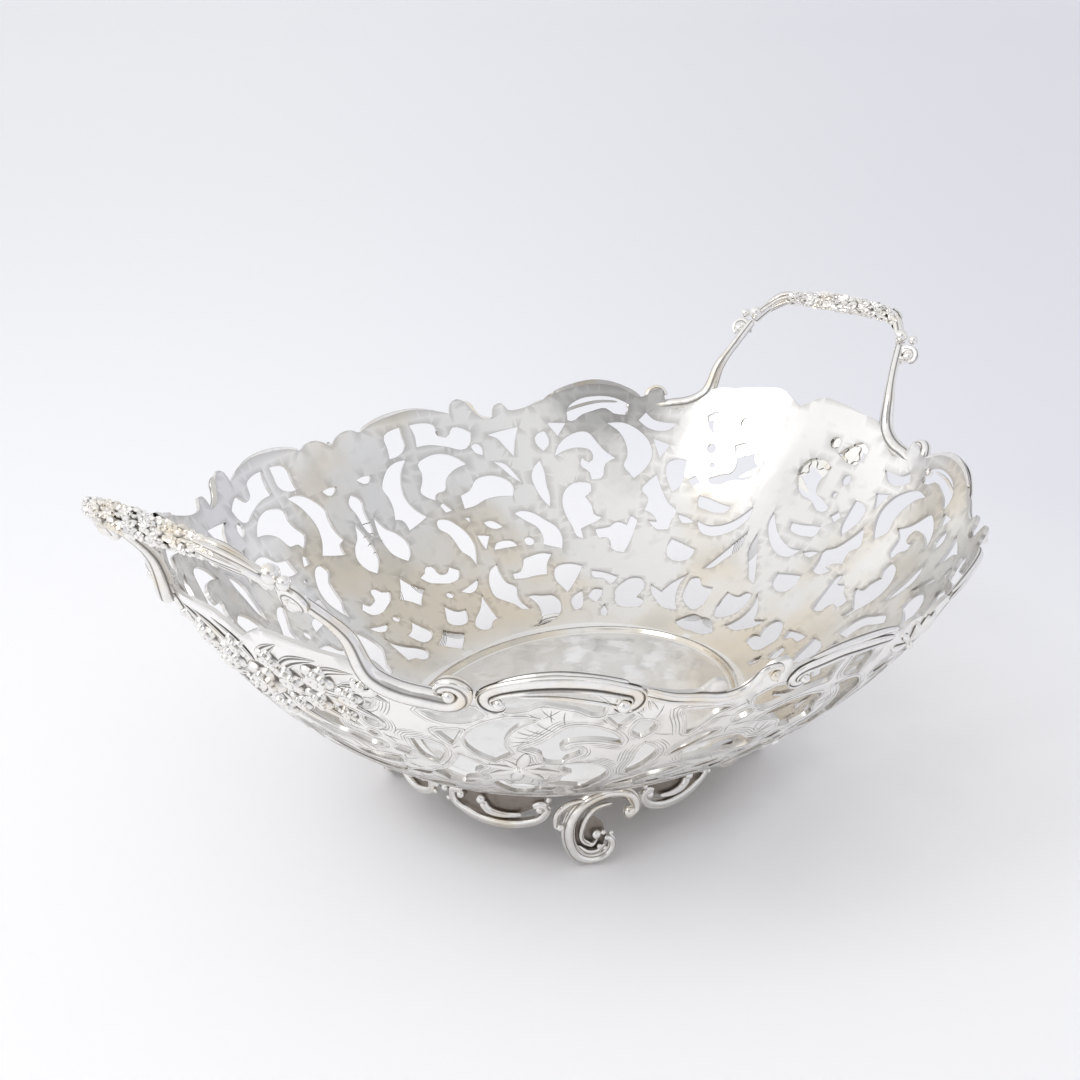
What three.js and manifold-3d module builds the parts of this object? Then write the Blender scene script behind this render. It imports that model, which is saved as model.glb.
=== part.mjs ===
// A pierced silver bread basket: one raised, pierced sheet on four cast scroll feet, with cast scroll
// mouldings soldered round its rim and a fixed cast handle over each end.
// Millimetres, Z up. The origin is on the table under the middle; X runs from handle to handle.
import * as THREE from 'three';
import { mergeVertices } from 'three/addons/utils/BufferGeometryUtils.js';
import Module from 'manifold-3d';

const wasm = await Module();
wasm.setup();

// Sheet: an oval bowl that leaves a flat floor and steepens towards its rim
const rimHalfLength = 140;
const rimHalfWidth = 126;
const rimHeight = 95;
const floorHalfLength = 66;
const floorHalfWidth = 53;
const floorHeight = 24.5;
const floorSink = 1.4;
const floorStepWidth = 4;
const floorRing = 0.5;
const sheet = 1.2;
const wallSwell = 0.45;

// Solder gap under every casting, and how far the trimming body reaches into the bowl
const seat = 0.3;
const trimDepth = 9;
const trimSlack = 0.2;

// Handles, measured from the rim
const collarOut = 18;
const collarUp = 33.6;
const collarSpread = 34;
const shoulderSpread = 26;
const gripOut = 30;
const gripUp = 44.2;
const gripRadius = 2.2;
const gripSwell = 3.1;
const legRadius = 2.5;
const collarGap = 0.7;
const voluteRadius = 4.2;
const ballRadius = 2.5;
const blossomRadius = 4.4;
const blossomStep = 9;
const blossomOffset = 6;

// Rim mouldings and the sprays of flowers
const mouldingRadius = 1.9;
const shellReach = 5;
const shellRoot = 54.8;
const shellLobe = 4;
const roseRadius = 3.9;
const roseHeight = 3.2;
const smallRose = 0.75;
const petalWave = 0.13;
const roseSeat = 0.55;
const mouldingSides = 4;

// Feet and the scrolled apron between them
const footStandX = 50;
const footStandY = 45;
const footRadius = 2.7;
const apronDrop = 12.5;
const apronRadius = 1.7;
const apronWeb = 1.3;
const apronLine = 4;
const apronLean = 0.15;

// Drawing plan of the wall: x is degrees round the oval from the middle of a long side, y climbs from
// the floor to the rim in steps that keep drawn shapes true, since the wall spreads as it rises.
const planRim = 60;
const planTop = 69;
const columns = 28;
const trimColumns = 60;
const trimRows = 8;
const smallestPiercing = 3.5;
const plainCorner = 0.04;
const bandRise = 1.2;
// Heights of the lines that cut the wall into rows, set off the drawn corners
const wallCuts = [0, 15.05, 30.05, 45.05, 75.05];

const silver = { metalness: 1, roughness: 0.22 };
const basket = new THREE.Group();

function climb(y) {
  return 2 ** (y / planRim) - 1;
}

// A point of the wall's inner face
function wallFace(x, y) {
  const rise = climb(y);
  const held = Math.min(rise, 1);
  const past = rise - held;
  const bend = (held * Math.PI) / 2;
  const reach = held * (1 - wallSwell) + wallSwell * Math.sin(bend) + past * (1 - wallSwell);
  const lift =
    held * (1 - wallSwell) +
    wallSwell * (1 - Math.cos(bend)) +
    past * (1 - wallSwell + (wallSwell * Math.PI) / 2);
  const angle = THREE.MathUtils.degToRad(x);
  return new THREE.Vector3(
    (floorHalfLength + (rimHalfLength - floorHalfLength) * reach) * Math.sin(angle),
    (floorHalfWidth + (rimHalfWidth - floorHalfWidth) * reach) * Math.cos(angle),
    floorHeight + (rimHeight - floorHeight) * lift,
  );
}

function wallNormal(x, y) {
  const step = 0.05;
  const along = wallFace(x + step, y).sub(wallFace(x - step, y));
  const up = wallFace(x, y + step).sub(wallFace(x, y - step));
  return up.cross(along).normalize();
}

// A point that stands a given distance outside the wall's inner face
function wallSpot(x, y, out) {
  return wallFace(x, y).addScaledVector(wallNormal(x, y), out);
}

// The level direction that faces straight away from the basket's middle at a place on the oval
function facingOut(x) {
  const angle = THREE.MathUtils.degToRad(x);
  return new THREE.Vector3(
    Math.sin(angle) / floorHalfLength,
    Math.cos(angle) / floorHalfWidth,
    0,
  ).normalize();
}

// A point of the apron, which hangs under the wall and draws in a little as it drops
function apronSpot(x, drop, out) {
  const top = wallSpot(x, apronLine, sheet + seat);
  top.addScaledVector(facingOut(x), out - apronLean * drop);
  top.z -= drop;
  return top;
}

// Turns rows of points into a closed body; each row is a closed section, the ends are capped
function loft(rows, capTriangles) {
  const count = rows[0].length;
  const positions = rows.flat().flatMap((p) => p.toArray());
  const faces = [];
  for (let r = 0; r + 1 < rows.length; r += 1) {
    for (let c = 0; c < count; c += 1) {
      const a = r * count + c;
      const b = r * count + ((c + 1) % count);
      faces.push(a, b, b + count, a, b + count, a + count);
    }
  }
  const caps = capTriangles ?? rows[0].slice(2).map((_, i) => [0, i + 1, i + 2]);
  const last = (rows.length - 1) * count;
  for (const [a, b, c] of caps) {
    faces.push(c, b, a, last + a, last + b, last + c);
  }
  const geometry = new THREE.BufferGeometry();
  geometry.setAttribute('position', new THREE.Float32BufferAttribute(positions, 3));
  geometry.setIndex(faces);
  return outward(geometry);
}

function signedVolume(geometry) {
  const p = geometry.attributes.position;
  const [a, b, c] = [new THREE.Vector3(), new THREE.Vector3(), new THREE.Vector3()];
  let total = 0;
  for (let i = 0; i < geometry.index.count; i += 3) {
    a.fromBufferAttribute(p, geometry.index.getX(i));
    b.fromBufferAttribute(p, geometry.index.getX(i + 1));
    c.fromBufferAttribute(p, geometry.index.getX(i + 2));
    total += a.dot(b.cross(c));
  }
  return total;
}

function outward(geometry) {
  if (signedVolume(geometry) < 0) {
    geometry.index.array.reverse();
  }
  return geometry;
}

function toSolid(geometry) {
  const bare = geometry.clone();
  for (const name of Object.keys(bare.attributes)) {
    if (name !== 'position') bare.deleteAttribute(name);
  }
  const merged = mergeVertices(bare, 1e-4);
  const whole = [];
  const index = merged.index.array;
  for (let i = 0; i < index.length; i += 3) {
    const [a, b, c] = [index[i], index[i + 1], index[i + 2]];
    if (a !== b && b !== c && c !== a) whole.push(a, b, c);
  }
  return new wasm.Manifold(
    new wasm.Mesh({
      numProp: 3,
      vertProperties: new Float32Array(merged.attributes.position.array),
      triVerts: new Uint32Array(whole),
    }),
  );
}

function toGeometry(solid) {
  const mesh = solid.getMesh();
  const geometry = new THREE.BufferGeometry();
  geometry.setAttribute('position', new THREE.BufferAttribute(mesh.vertProperties, 3));
  geometry.setIndex(new THREE.BufferAttribute(mesh.triVerts, 1));
  const flat = geometry.toNonIndexed();
  flat.computeVertexNormals();
  return flat;
}

function join(geometries) {
  return geometries.map(toSolid).reduce((whole, piece) => whole.add(piece));
}

// Adds a named mesh; sx and sy of -1 mirror it into another quarter
function place(name, solid, color, sx = 1, sy = 1) {
  const geometry = toGeometry(solid);
  geometry.scale(sx, sy, 1);
  if (sx * sy < 0) {
    const p = geometry.attributes.position.array;
    for (let i = 0; i < p.length; i += 9) {
      for (let k = 0; k < 3; k += 1) [p[i + k], p[i + 3 + k]] = [p[i + 3 + k], p[i + k]];
    }
    geometry.computeVertexNormals();
  }
  const mesh = new THREE.Mesh(geometry, new THREE.MeshStandardMaterial({ color, ...silver }));
  mesh.name = name;
  basket.add(mesh);
}

// A tapered round rod along points in space; radius is a function of the way along, from 0 to 1
function rod(points, radius, steps, sides = 5) {
  const curve = new THREE.CatmullRomCurve3(points, false, 'centripetal');
  const frames = curve.computeFrenetFrames(steps, false);
  const rows = [];
  for (let i = 0; i <= steps; i += 1) {
    const t = i / steps;
    const centre = curve.getPointAt(t);
    const row = [];
    for (let s = 0; s < sides; s += 1) {
      const turn = (s / sides) * 2 * Math.PI;
      row.push(
        centre
          .clone()
          .addScaledVector(frames.normals[i], radius(t) * Math.cos(turn))
          .addScaledVector(frames.binormals[i], radius(t) * Math.sin(turn)),
      );
    }
    rows.push(row);
  }
  return loft(rows);
}

// Plain taper: thin at both ends, full in the middle
function taper(radius, ends) {
  return (t) => radius * (ends + (1 - ends) * Math.sin(Math.PI * t));
}

// Points of a spiral that winds in, in the same plan units as the drawing
function curl(centreX, centreY, from, to, start, sweep, steps = 6) {
  const points = [];
  for (let i = 0; i <= steps; i += 1) {
    const t = i / steps;
    const turn = THREE.MathUtils.degToRad(start + sweep * t);
    const reach = from + (to - from) * t;
    points.push([centreX + reach * Math.cos(turn), centreY + reach * Math.sin(turn)]);
  }
  return points;
}

function ballAt(radius, centre) {
  const ball = new THREE.SphereGeometry(radius, 6, 3);
  ball.translate(centre.x, centre.y, centre.z);
  return ball;
}

// A half-round moulding laid on the wall's outside along a drawn path. Half width is a function of the
// way along; rise is its height as a share of that.
function moulding(path, halfWidth, steps, rise = 1) {
  const points = path.map(([x, y]) => new THREE.Vector3(x, y, 0));
  const curve = new THREE.CatmullRomCurve3(points, false, 'centripetal');
  const rows = [];
  for (let i = 0; i <= steps; i += 1) {
    const t = i / steps;
    const on = (way) => {
      const spot = curve.getPointAt(THREE.MathUtils.clamp(way, 0, 1));
      return wallSpot(spot.x, spot.y, sheet + seat);
    };
    const spot = curve.getPointAt(t);
    const normal = wallNormal(spot.x, spot.y);
    const across = on(t + 0.02).sub(on(t - 0.02)).cross(normal).normalize();
    const row = [];
    for (let s = 0; s <= mouldingSides; s += 1) {
      const turn = (s / mouldingSides) * Math.PI;
      row.push(
        on(t)
          .addScaledVector(across, halfWidth(t) * Math.cos(turn))
          .addScaledVector(normal, halfWidth(t) * rise * Math.sin(turn)),
      );
    }
    rows.push(row);
  }
  return loft(rows);
}

// A blossom: a low dome whose edge waves into petals. Spot turns two flat distances and a height into
// a point, so that the same blossom can lie on the wall or on a handle.
function rose(spot, radius, height, petals = 5) {
  const sides = petals * 2;
  const levels = [
    [1, 0.2],
    [0.6, 0.85],
    [0.2, 1],
  ];
  const rows = levels.map(([share, level]) => {
    const row = [];
    for (let s = 0; s < sides; s += 1) {
      const turn = (s / sides) * 2 * Math.PI;
      const reach = radius * share * (1 + petalWave * share * Math.cos(petals * turn));
      row.push(spot(reach * Math.cos(turn), reach * Math.sin(turn), level * height));
    }
    return row;
  });
  return loft(rows);
}

// A closed shell between two distances from the wall's inner face, used to trim what is seated on it
function trimmingShell(inner, outer) {
  const ring = (y, out) => {
    const row = [];
    for (let c = 0; c < trimColumns; c += 1) row.push(wallSpot((c / trimColumns) * 360, y, out));
    return row;
  };
  const levels = [];
  for (let i = 0; i <= trimRows; i += 1) levels.push((planTop * i) / trimRows);
  const rows = levels.map((y) => ring(y, inner));
  rows.push(...levels.map((y) => ring(y, outer)).reverse(), rows[0]);
  return toSolid(loft(rows, []));
}

function outlineArea(outline) {
  return Math.abs(THREE.ShapeUtils.area(outline.map(([x, y]) => new THREE.Vector2(x, y))));
}

// The outline without the corners that hardly change its area
function plainOutline(outline) {
  const count = outline.length;
  const least = plainCorner * outlineArea(outline);
  return outline.filter((point, i) => {
    const before = outline[(i + count - 1) % count];
    const after = outline[(i + 1) % count];
    return outlineArea([before, point, after]) > least;
  });
}

// The rim line of one quarter, from the middle of a long side to the middle of an end
const rimQuarter = [
  [0, 58.6], [1.2, 59.8], [3.4, 60.7], [5, 60.5], [6, 59.9], [8.5, 60.7], [13, 61.5], [17, 61.8],
  [20.5, 61.2], [24, 60], [24.4, 61.8], [25.6, 62.5], [27, 61.8], [28.6, 59.6], [30.4, 58.2],
  [31.8, 58.2], [32.4, 60.6], [33.6, 60.9], [34.8, 59.5], [37, 59.5], [40, 60.4], [43, 61.7],
  [46.5, 62.9], [51, 63.6], [55, 63.1], [60, 61.4], [61.6, 62.7], [63.4, 62.8], [64.2, 60.6],
  [66, 59.3], [68.4, 60], [70.6, 61.9], [73, 63.6], [77, 64.1], [82, 64.9], [86, 65],
  [88.6, 63.6], [90, 62.7],
];

// The piercings of one quarter, drawn as the saw leaves them: scrolls, leaves and the flower's ground
const piercings = [
  [[10.7, 58.2], [12.5, 58.9], [14.2, 59.1], [14.2, 57.2], [14.3, 55.8], [13.6, 54.7], [11.8, 53.9],
    [10.4, 53.8], [10.6, 55.5]],
  [[15.9, 59.1], [18.5, 59.1], [20.7, 58.3], [21.2, 56.4], [22.5, 55.8], [24, 57.4], [27.3, 56],
    [26.5, 53.5], [25.5, 53], [22, 54], [18.5, 54.9], [16.3, 54.9], [16.5, 57]],
  [[2.3, 51.7], [3.8, 52], [5.6, 51.8], [5, 50.8], [3.5, 50.6]],
  [[13.6, 53], [11.8, 53], [9.5, 52.2], [7.8, 50.5], [6.8, 48.8], [7.3, 46.5], [7.2, 44], [6.5, 42],
    [8, 41.5], [8.5, 39], [11.5, 40], [13.8, 41], [12, 43], [10.8, 46], [11.3, 49.5], [12.3, 51.5]],
  [[15.5, 51.5], [17.5, 52.6], [22, 52.5], [24, 51.3], [25.3, 50], [22.5, 49.3], [20.5, 47.8],
    [19.5, 45.5], [17.3, 45], [16.8, 43.8], [15, 45], [14.3, 46], [15.3, 48], [15.8, 49.8]],
  [[17.3, 42.5], [18.3, 43], [19.8, 41], [18, 40.8]],
  [[22.3, 40.8], [22.3, 43.8], [24.5, 44.5], [26.3, 46.5], [28.8, 47.1], [31.5, 46.5], [33.8, 44.3],
    [33.3, 42], [30.5, 42.3], [27.5, 42.1], [24.5, 41]],
  [[26.8, 53.3], [27.8, 53.8], [29, 52.8], [28.8, 51.3], [27.3, 52]],
  [[30.5, 49.8], [32.5, 49.3], [34.8, 46.5], [35.9, 44.5], [34, 46], [32, 48.3]],
  [[30.3, 55.1], [33, 55.6], [36.4, 56.1], [35.5, 53.5], [34.9, 50.3], [33.3, 52.5], [32, 54.3]],
  [[40, 54.5], [41.3, 54.9], [42, 53.5], [41.9, 52], [40.8, 51], [39.8, 52], [39.3, 53.5]],
  [[41.8, 56.6], [43.5, 56.4], [45.4, 56.3], [43.8, 53.8], [42.5, 55.5]],
  [[40, 49.1], [38.8, 48], [37.9, 46], [38.5, 43], [40, 40], [41, 38.8], [41.3, 41], [40.8, 44],
    [40.6, 47]],
  [[2.4, 44.3], [1.5, 41], [1.3, 38], [2, 35], [4.5, 32.6], [6, 34], [6.8, 37], [5.5, 39.5], [3.8, 41]],
  [[15.5, 39.5], [17.5, 39.5], [19.8, 37.5], [21.3, 35], [21.8, 32.5], [21.3, 30], [20.2, 26.8],
    [19.5, 29.3], [18.1, 31], [17.5, 33.5], [16.8, 35.8], [15, 38]],
  [[4.7, 27.8], [6.5, 28.5], [7.5, 29.8], [9.3, 29.8], [10.3, 27.3], [12.3, 27], [13.3, 28.5],
    [15.4, 27], [14.3, 24.8], [11.5, 24], [8.5, 24.8], [6, 26]],
  [[25.5, 37], [27.3, 37.3], [29.8, 35.3], [28, 34.9], [26, 36]],
  [[21.5, 38.9], [22.8, 38.8], [22.5, 37.5]],
  [[23, 34.5], [26, 33.8], [25, 32], [24, 30.3], [23.4, 32.3]],
  [[26, 29.8], [26.8, 31.3], [29, 32], [31.3, 31.3], [32.1, 29.9]],
  [[32.8, 38], [34, 38.5], [36.8, 38], [39.5, 36], [42, 34], [43.1, 31.5], [42.8, 28], [41, 28.5],
    [38.3, 29.5], [38.5, 31.5], [37.5, 34], [35, 36]],
  [[32.5, 26], [35, 27], [38, 27.4], [40, 26.8], [38.3, 24], [37.8, 20.8], [34.5, 20.8], [31.3, 20.5],
    [28.5, 20.8], [28.6, 22.8], [31, 23], [32, 24.5]],
  [[25.3, 26], [23.5, 25], [21.8, 22.5], [21, 19.5], [21.3, 16.5], [23.5, 14.5], [26, 12.5],
    [27.5, 10.5], [30.5, 10.3], [28.3, 13.5], [27.8, 16], [28.3, 18.8], [26.3, 20.5], [25.4, 23.5]],
  [[30.3, 14.8], [32, 15.1], [35, 14.5], [38.5, 14], [40, 12], [40, 9], [38.8, 6.3], [35.5, 4],
    [32, 3], [28.5, 3], [31.5, 4.5], [33, 7.5], [32.8, 11]],
  [[17.8, 18.5], [18.1, 15.5], [18.5, 12], [18.9, 9.5], [16.5, 8.8], [14.5, 6.8], [12, 6.8], [10.3, 9],
    [11.5, 11], [14.5, 13.5], [16.5, 16]],
  [[12.6, 21], [15.5, 21.8], [18.8, 23], [17.3, 20.5], [15, 19.6]],
  [[6, 18.8], [6.8, 17.5], [8.8, 15.8], [11, 15.5], [10, 13], [9, 11.5], [5.5, 11.3], [3.3, 13.3],
    [4.5, 16]],
  [[40.8, 23], [44, 23.8], [47.8, 22.8], [46.8, 20.5], [44.5, 16.5], [42.8, 14.3], [41.3, 16.5],
    [40, 18.5]],
  [[45.8, 56.8], [45.8, 59], [47.5, 60.5], [51, 61.3], [54.5, 61], [57.3, 59.8], [57.1, 57.8],
    [54.5, 58], [53, 59], [50.5, 58.5], [48.5, 57.8], [46.5, 56.6]],
  [[59.3, 56.8], [60.6, 58.3], [62, 57.1], [64.5, 56.6], [66.8, 56.6], [65.5, 55.3], [63, 54.9],
    [61, 55.5]],
  [[43, 49.8], [43.8, 51.8], [46, 53.8], [49.5, 54.4], [51.3, 52.5], [52.8, 50.8], [55.3, 49.1],
    [53.3, 48], [52.4, 44.8], [50.4, 44.5], [50, 46], [48.1, 47.8], [48.5, 49.3], [49.8, 48.3],
    [50.6, 48.8], [50.3, 50.5], [48, 51.3], [45.5, 51]],
  [[53.3, 56.1], [56, 56.3], [59.5, 54.8], [61.8, 52.5], [62.6, 50], [61.5, 47], [59.3, 44.9],
    [58.3, 46], [57, 47.5], [57.6, 49.5], [57, 52.5], [55.3, 54.8]],
  [[44.5, 42], [46.8, 44], [50, 43.9], [50.3, 42], [49, 40.8], [50.5, 38.5], [50.8, 36.8], [52.8, 36],
    [52.3, 35.3], [49.5, 33.8], [47.8, 33], [48.4, 30.3], [47, 30.8], [45.8, 33.5], [44.3, 37],
    [43.9, 40]],
  [[64, 46], [65.5, 43], [67.5, 40], [70, 37.8], [69.3, 36], [69, 33.5], [66, 33.3], [63.8, 35.3],
    [65.8, 35.3], [65, 36.5], [62.3, 37.8], [63, 40.5], [61.3, 42.5], [62.5, 44.5]],
  [[51.4, 32], [51.5, 33], [54.5, 33.5], [56.5, 34.8], [58.8, 34], [59.5, 36.3], [61, 35.5],
    [60.8, 33], [59.8, 29], [58.8, 26.5], [55.5, 27.5], [55.1, 29.5], [54, 30.6], [52.3, 30.3]],
  [[62.5, 53.3], [66, 52.3], [64.3, 49.4], [63.3, 51.5]],
  [[66, 48.5], [68, 49.6], [70, 49.5], [70, 47], [69.3, 43.5], [68, 42.4], [66.8, 44.5], [65.9, 47]],
  [[70.5, 37.5], [73, 37], [74.8, 36], [72, 35.5]],
  [[69.8, 29.5], [70.5, 31.3], [74, 30.3], [77.3, 29.3], [77, 27], [74, 25.3], [71, 26]],
  [[75.5, 36.5], [78, 35.8], [81, 36.3], [84, 38], [87.3, 42], [87.6, 40], [86, 36.8], [83, 34.3],
    [80, 33.3], [77, 34]],
  [[74.3, 42.3], [76.5, 42], [79.5, 41.3], [82, 41], [81.8, 39.8], [79.5, 39], [76.5, 39.3],
    [74.5, 40]],
  [[79, 53.5], [81.5, 54.5], [84.5, 53.8], [85.8, 52], [85.3, 49], [83, 47], [80.5, 46.5], [77.5, 45],
    [75.5, 45.5], [75.3, 46.3], [77.5, 47.3], [80, 48.3], [80.3, 50.5], [79.5, 52]],
  [[72.5, 58.5], [74.5, 59.5], [76.5, 58.5], [78.8, 56.3], [76.5, 55.3], [73.5, 55.8], [72.8, 57.3]],
  [[71, 45.5], [72.5, 46.5], [73.8, 45], [72, 44]],
  [[50.3, 21.3], [53.5, 20.8], [57.8, 19.3], [57, 17.5], [55.8, 16.5], [54, 18.3], [50.5, 19.3]],
  [[43.5, 10.5], [45, 13.5], [47.3, 14.8], [47.5, 12.5], [46.3, 8], [44.5, 7.5]],
  [[49, 12.3], [51, 15.3], [53.5, 15], [53.3, 12.5], [51.5, 10.3], [50.3, 11]],
  [[53.3, 7.5], [54.5, 9.3], [55.6, 7], [55.3, 4.5], [53.5, 4.8]],
  [[57.8, 12.5], [57.5, 14.5], [59.5, 17.5], [62.5, 19.3], [65.3, 18.8], [66.3, 15.5], [64.8, 12.8],
    [67.3, 11.5], [67, 9.5], [63.5, 8.5], [59.5, 8.8], [58, 10.5]],
  [[68.3, 17.3], [72, 15.5], [74, 18.5], [78.3, 22.4], [77.2, 20], [77, 15.5], [78.6, 11.5], [80, 9.8],
    [74.5, 9.8], [71.5, 12], [69.5, 14]],
  [[79.6, 21.2], [81.5, 21.8], [83.5, 19.8], [87.4, 19.8], [87.5, 13.5], [86, 11.4], [82, 12.4],
    [79.6, 15], [79, 18.5]],
  [[81.5, 24.5], [84, 28.5], [87, 33.5], [88.8, 36.5], [88.8, 32], [86.5, 28.5], [83.5, 25]],
];

// Piercings that lie across the middle of a long side or of an end are drawn to that line, in the
// order in which the edge of the quarter meets them
const sidePiercings = [
  [[0, 49.5], [1.5, 48], [1, 45.5], [0.8, 42], [0, 40]],
  [[0, 30], [1.5, 27.5], [4, 24.8], [2, 23.2], [0, 21]],
  [[0, 12], [2, 10.3], [5.3, 8.3], [3, 5.8], [0, 3.5]],
];
const endPiercings = [[[90, 3.3], [87, 3.2], [83.5, 4], [81.5, 5.8], [84, 8], [87, 9.8], [90, 9.5]]];

// The plain band above the floor ends in a shallow bow, and the pierced drawing starts there
function bandLine(x) {
  return bandRise * (1 + Math.abs(Math.sin(THREE.MathUtils.degToRad(x))));
}

const quarterColumns = Array.from({ length: columns / 4 + 1 }, (_, c) => (c * 360) / columns);

// One quarter of the sheet, drawn flat, less its openings
function sheetDrawing() {
  const bottom = quarterColumns.map((x) => [x, bandLine(x)]);
  const edge = [...sidePiercings.flat(), ...bottom, ...endPiercings.flat(), ...rimQuarter.toReversed()];
  const openings = piercings.filter((outline) => outlineArea(outline) > smallestPiercing).map(plainOutline);
  return new wasm.CrossSection([edge, ...openings], 'EvenOdd');
}

// The drawing, cut into cells so that the sheet follows the curve of the wall, as triangles of points
function sheetQuarter() {
  const drawing = sheetDrawing();
  const flat = (outline) => outline.map(([x, y]) => new THREE.Vector2(x, y));
  const triangles = [];
  for (let c = 0; c + 1 < quarterColumns.length; c += 1) {
    const [left, right] = [quarterColumns[c], quarterColumns[c + 1]];
    for (let r = 0; r + 1 < wallCuts.length; r += 1) {
      const [low, high] = [wallCuts[r], wallCuts[r + 1]];
      const cell = wasm.CrossSection.square([right - left, high - low]).translate([left, low]);
      for (const sheetPiece of drawing.intersect(cell).decompose()) {
        const outlines = sheetPiece.toPolygons();
        const signedArea = (outline) => THREE.ShapeUtils.area(flat(outline));
        outlines.sort((first, second) => signedArea(second) - signedArea(first));
        const [edge, ...openings] = outlines;
        const points = outlines.flat();
        for (const triangle of THREE.ShapeUtils.triangulateShape(flat(edge), openings.map(flat))) {
          triangles.push(triangle.map((i) => points[i]));
        }
      }
    }
  }
  return triangles;
}

// Gives a sheet of triangles its thickness: a second face, and a wall along every open edge
function thicken(corners, triangles) {
  const count = corners.length;
  const faces = [];
  const openEdges = new Map();
  for (const [a, b, c] of triangles) {
    faces.push(a, b, c, c + count, b + count, a + count);
    for (const [from, to] of [[a, b], [b, c], [c, a]]) {
      if (!openEdges.delete(`${to} ${from}`)) openEdges.set(`${from} ${to}`, [from, to]);
    }
  }
  for (const [from, to] of openEdges.values()) {
    faces.push(to, from, from + count, to, from + count, to + count);
  }
  const positions = [...corners.map((corner) => corner.inner), ...corners.map((corner) => corner.outer)];
  const geometry = new THREE.BufferGeometry();
  geometry.setAttribute(
    'position',
    new THREE.Float32BufferAttribute(positions.flatMap((p) => p.toArray()), 3),
  );
  geometry.setIndex(faces);
  return outward(geometry);
}

// The bowl: the pierced wall in four mirrored quarters, the step below it and the flat floor
function bowl() {
  const corners = new Map();
  const corner = (name, inner, outer) => {
    if (!corners.has(name)) corners.set(name, { number: corners.size, inner, outer });
    return corners.get(name).number;
  };
  const onWall = (x, y) => {
    const around = (x + 360) % 360;
    const name = `${around.toFixed(3)} ${y.toFixed(3)}`;
    return corner(name, wallSpot(around, y, 0), wallSpot(around, y, sheet));
  };
  const onFloor = (x, share) => {
    const angle = THREE.MathUtils.degToRad(x);
    const inner = new THREE.Vector3(
      (floorHalfLength - floorStepWidth) * share * Math.sin(angle),
      (floorHalfWidth - floorStepWidth) * share * Math.cos(angle),
      floorHeight - floorSink,
    );
    const outer = inner.clone();
    outer.z -= sheet;
    return corner(`floor ${share === 0 ? 0 : x % 360} ${share}`, inner, outer);
  };
  const triangles = sheetQuarter();
  const wallQuarter = (across, mirrored) =>
    triangles.map((triangle) => {
      const face = triangle.map(([x, y]) => onWall(across(x), y));
      return mirrored ? face.reverse() : face;
    });
  const faces = [
    ...wallQuarter((x) => x, false),
    ...wallQuarter((x) => 180 - x, true),
    ...wallQuarter((x) => 180 + x, false),
    ...wallQuarter((x) => 360 - x, true),
  ];
  for (let c = 0; c < columns; c += 1) {
    const here = (c * 360) / columns;
    const next = ((c + 1) * 360) / columns;
    const rings = [
      (x) => onWall(x, bandLine(x)),
      (x) => onWall(x, 0),
      (x) => onFloor(x, 1),
      (x) => onFloor(x, floorRing),
    ];
    for (let r = 0; r + 1 < rings.length; r += 1) {
      const [out, into] = [rings[r], rings[r + 1]];
      faces.push([into(here), into(next), out(next)], [into(here), out(next), out(here)]);
    }
    faces.push([onFloor(0, 0), onFloor(next, floorRing), onFloor(here, floorRing)]);
  }
  return toSolid(thicken([...corners.values()], faces));
}

const trim = trimmingShell(-trimDepth, sheet + seat + trimSlack);

// The large arched scroll that stands beside each handle leg
function greatArch() {
  const path = [
    ...curl(43.6, 59.2, 1.3, 1.8, 420, -150, 3),
    [43.2, 61.6],
    [46.5, 62.9],
    [51, 63.6],
    [55, 63.1],
    ...curl(57.4, 59.6, 1.9, 1.3, 70, -200, 4),
  ];
  return toSolid(moulding(path, taper(mouldingRadius, 0.6), 13));
}

// The scroll that dips between the two arches
function linkScroll() {
  const path = [
    [40.4, 60.2],
    [37.6, 59.3],
    [33.6, 58.9],
    [30.6, 58],
    [28.6, 59.3],
    ...curl(26.4, 60.5, 1.6, 0.6, 0, 220, 4),
  ];
  return toSolid(moulding(path, taper(mouldingRadius, 0.55), 10));
}

// The low arch beside the middle shell
function smallArch() {
  const path = [
    [7.6, 59.6],
    [10, 60.6],
    [13.4, 61.3],
    [17, 61.6],
    [20.6, 60.9],
    ...curl(22, 58.4, 1.8, 0.6, 90, -240, 4),
  ];
  return toSolid(moulding(path, taper(mouldingRadius, 0.6), 10));
}

// The shell at the middle of each long side: lobes fanned from one point
function middleShell() {
  const lobes = [-52, 0, 52].map((lean) => {
    const turn = THREE.MathUtils.degToRad(lean);
    const tip = [shellReach * Math.sin(turn), shellRoot + shellReach * Math.cos(turn)];
    return moulding([[0, shellRoot], tip], (t) => shellLobe * (0.5 + 0.5 * t), 2, 0.8);
  });
  return join(lobes);
}

// The spray of three blossoms and their leaves on the outside of each end
function endSpray() {
  const blossoms = [
    [90, 55, 1],
    [78.5, 57.5, smallRose],
    [101.5, 57.5, smallRose],
  ].map(([x, y, share]) => {
    const spot = (dx, dy, out) => wallSpot(x + dx, y + dy, sheet + roseSeat + out);
    return rose(spot, roseRadius * share, roseHeight * share);
  });
  const leaf = (x0, y0, x1, y1) =>
    moulding([[x0, y0], [(x0 + x1) / 2, (y0 + y1) / 2 + 0.5], [x1, y1]], taper(3.2, 0.3), 2, 0.6);
  const sides = [-1, 1].flatMap((side) => [
    leaf(90 + side * 1.5, 57, 90 + side * 8, 63),
    moulding([[90 + side, 55], [90 + side * 5, 56.4], [90 + side * 9.5, 57]], () => 1.6, 1),
    moulding([[90 + side, 53], [90 + side * 6, 49.6]], (t) => 3 - 2 * t, 1, 0.6),
  ]);
  return join([...blossoms, ...sides]);
}

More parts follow.
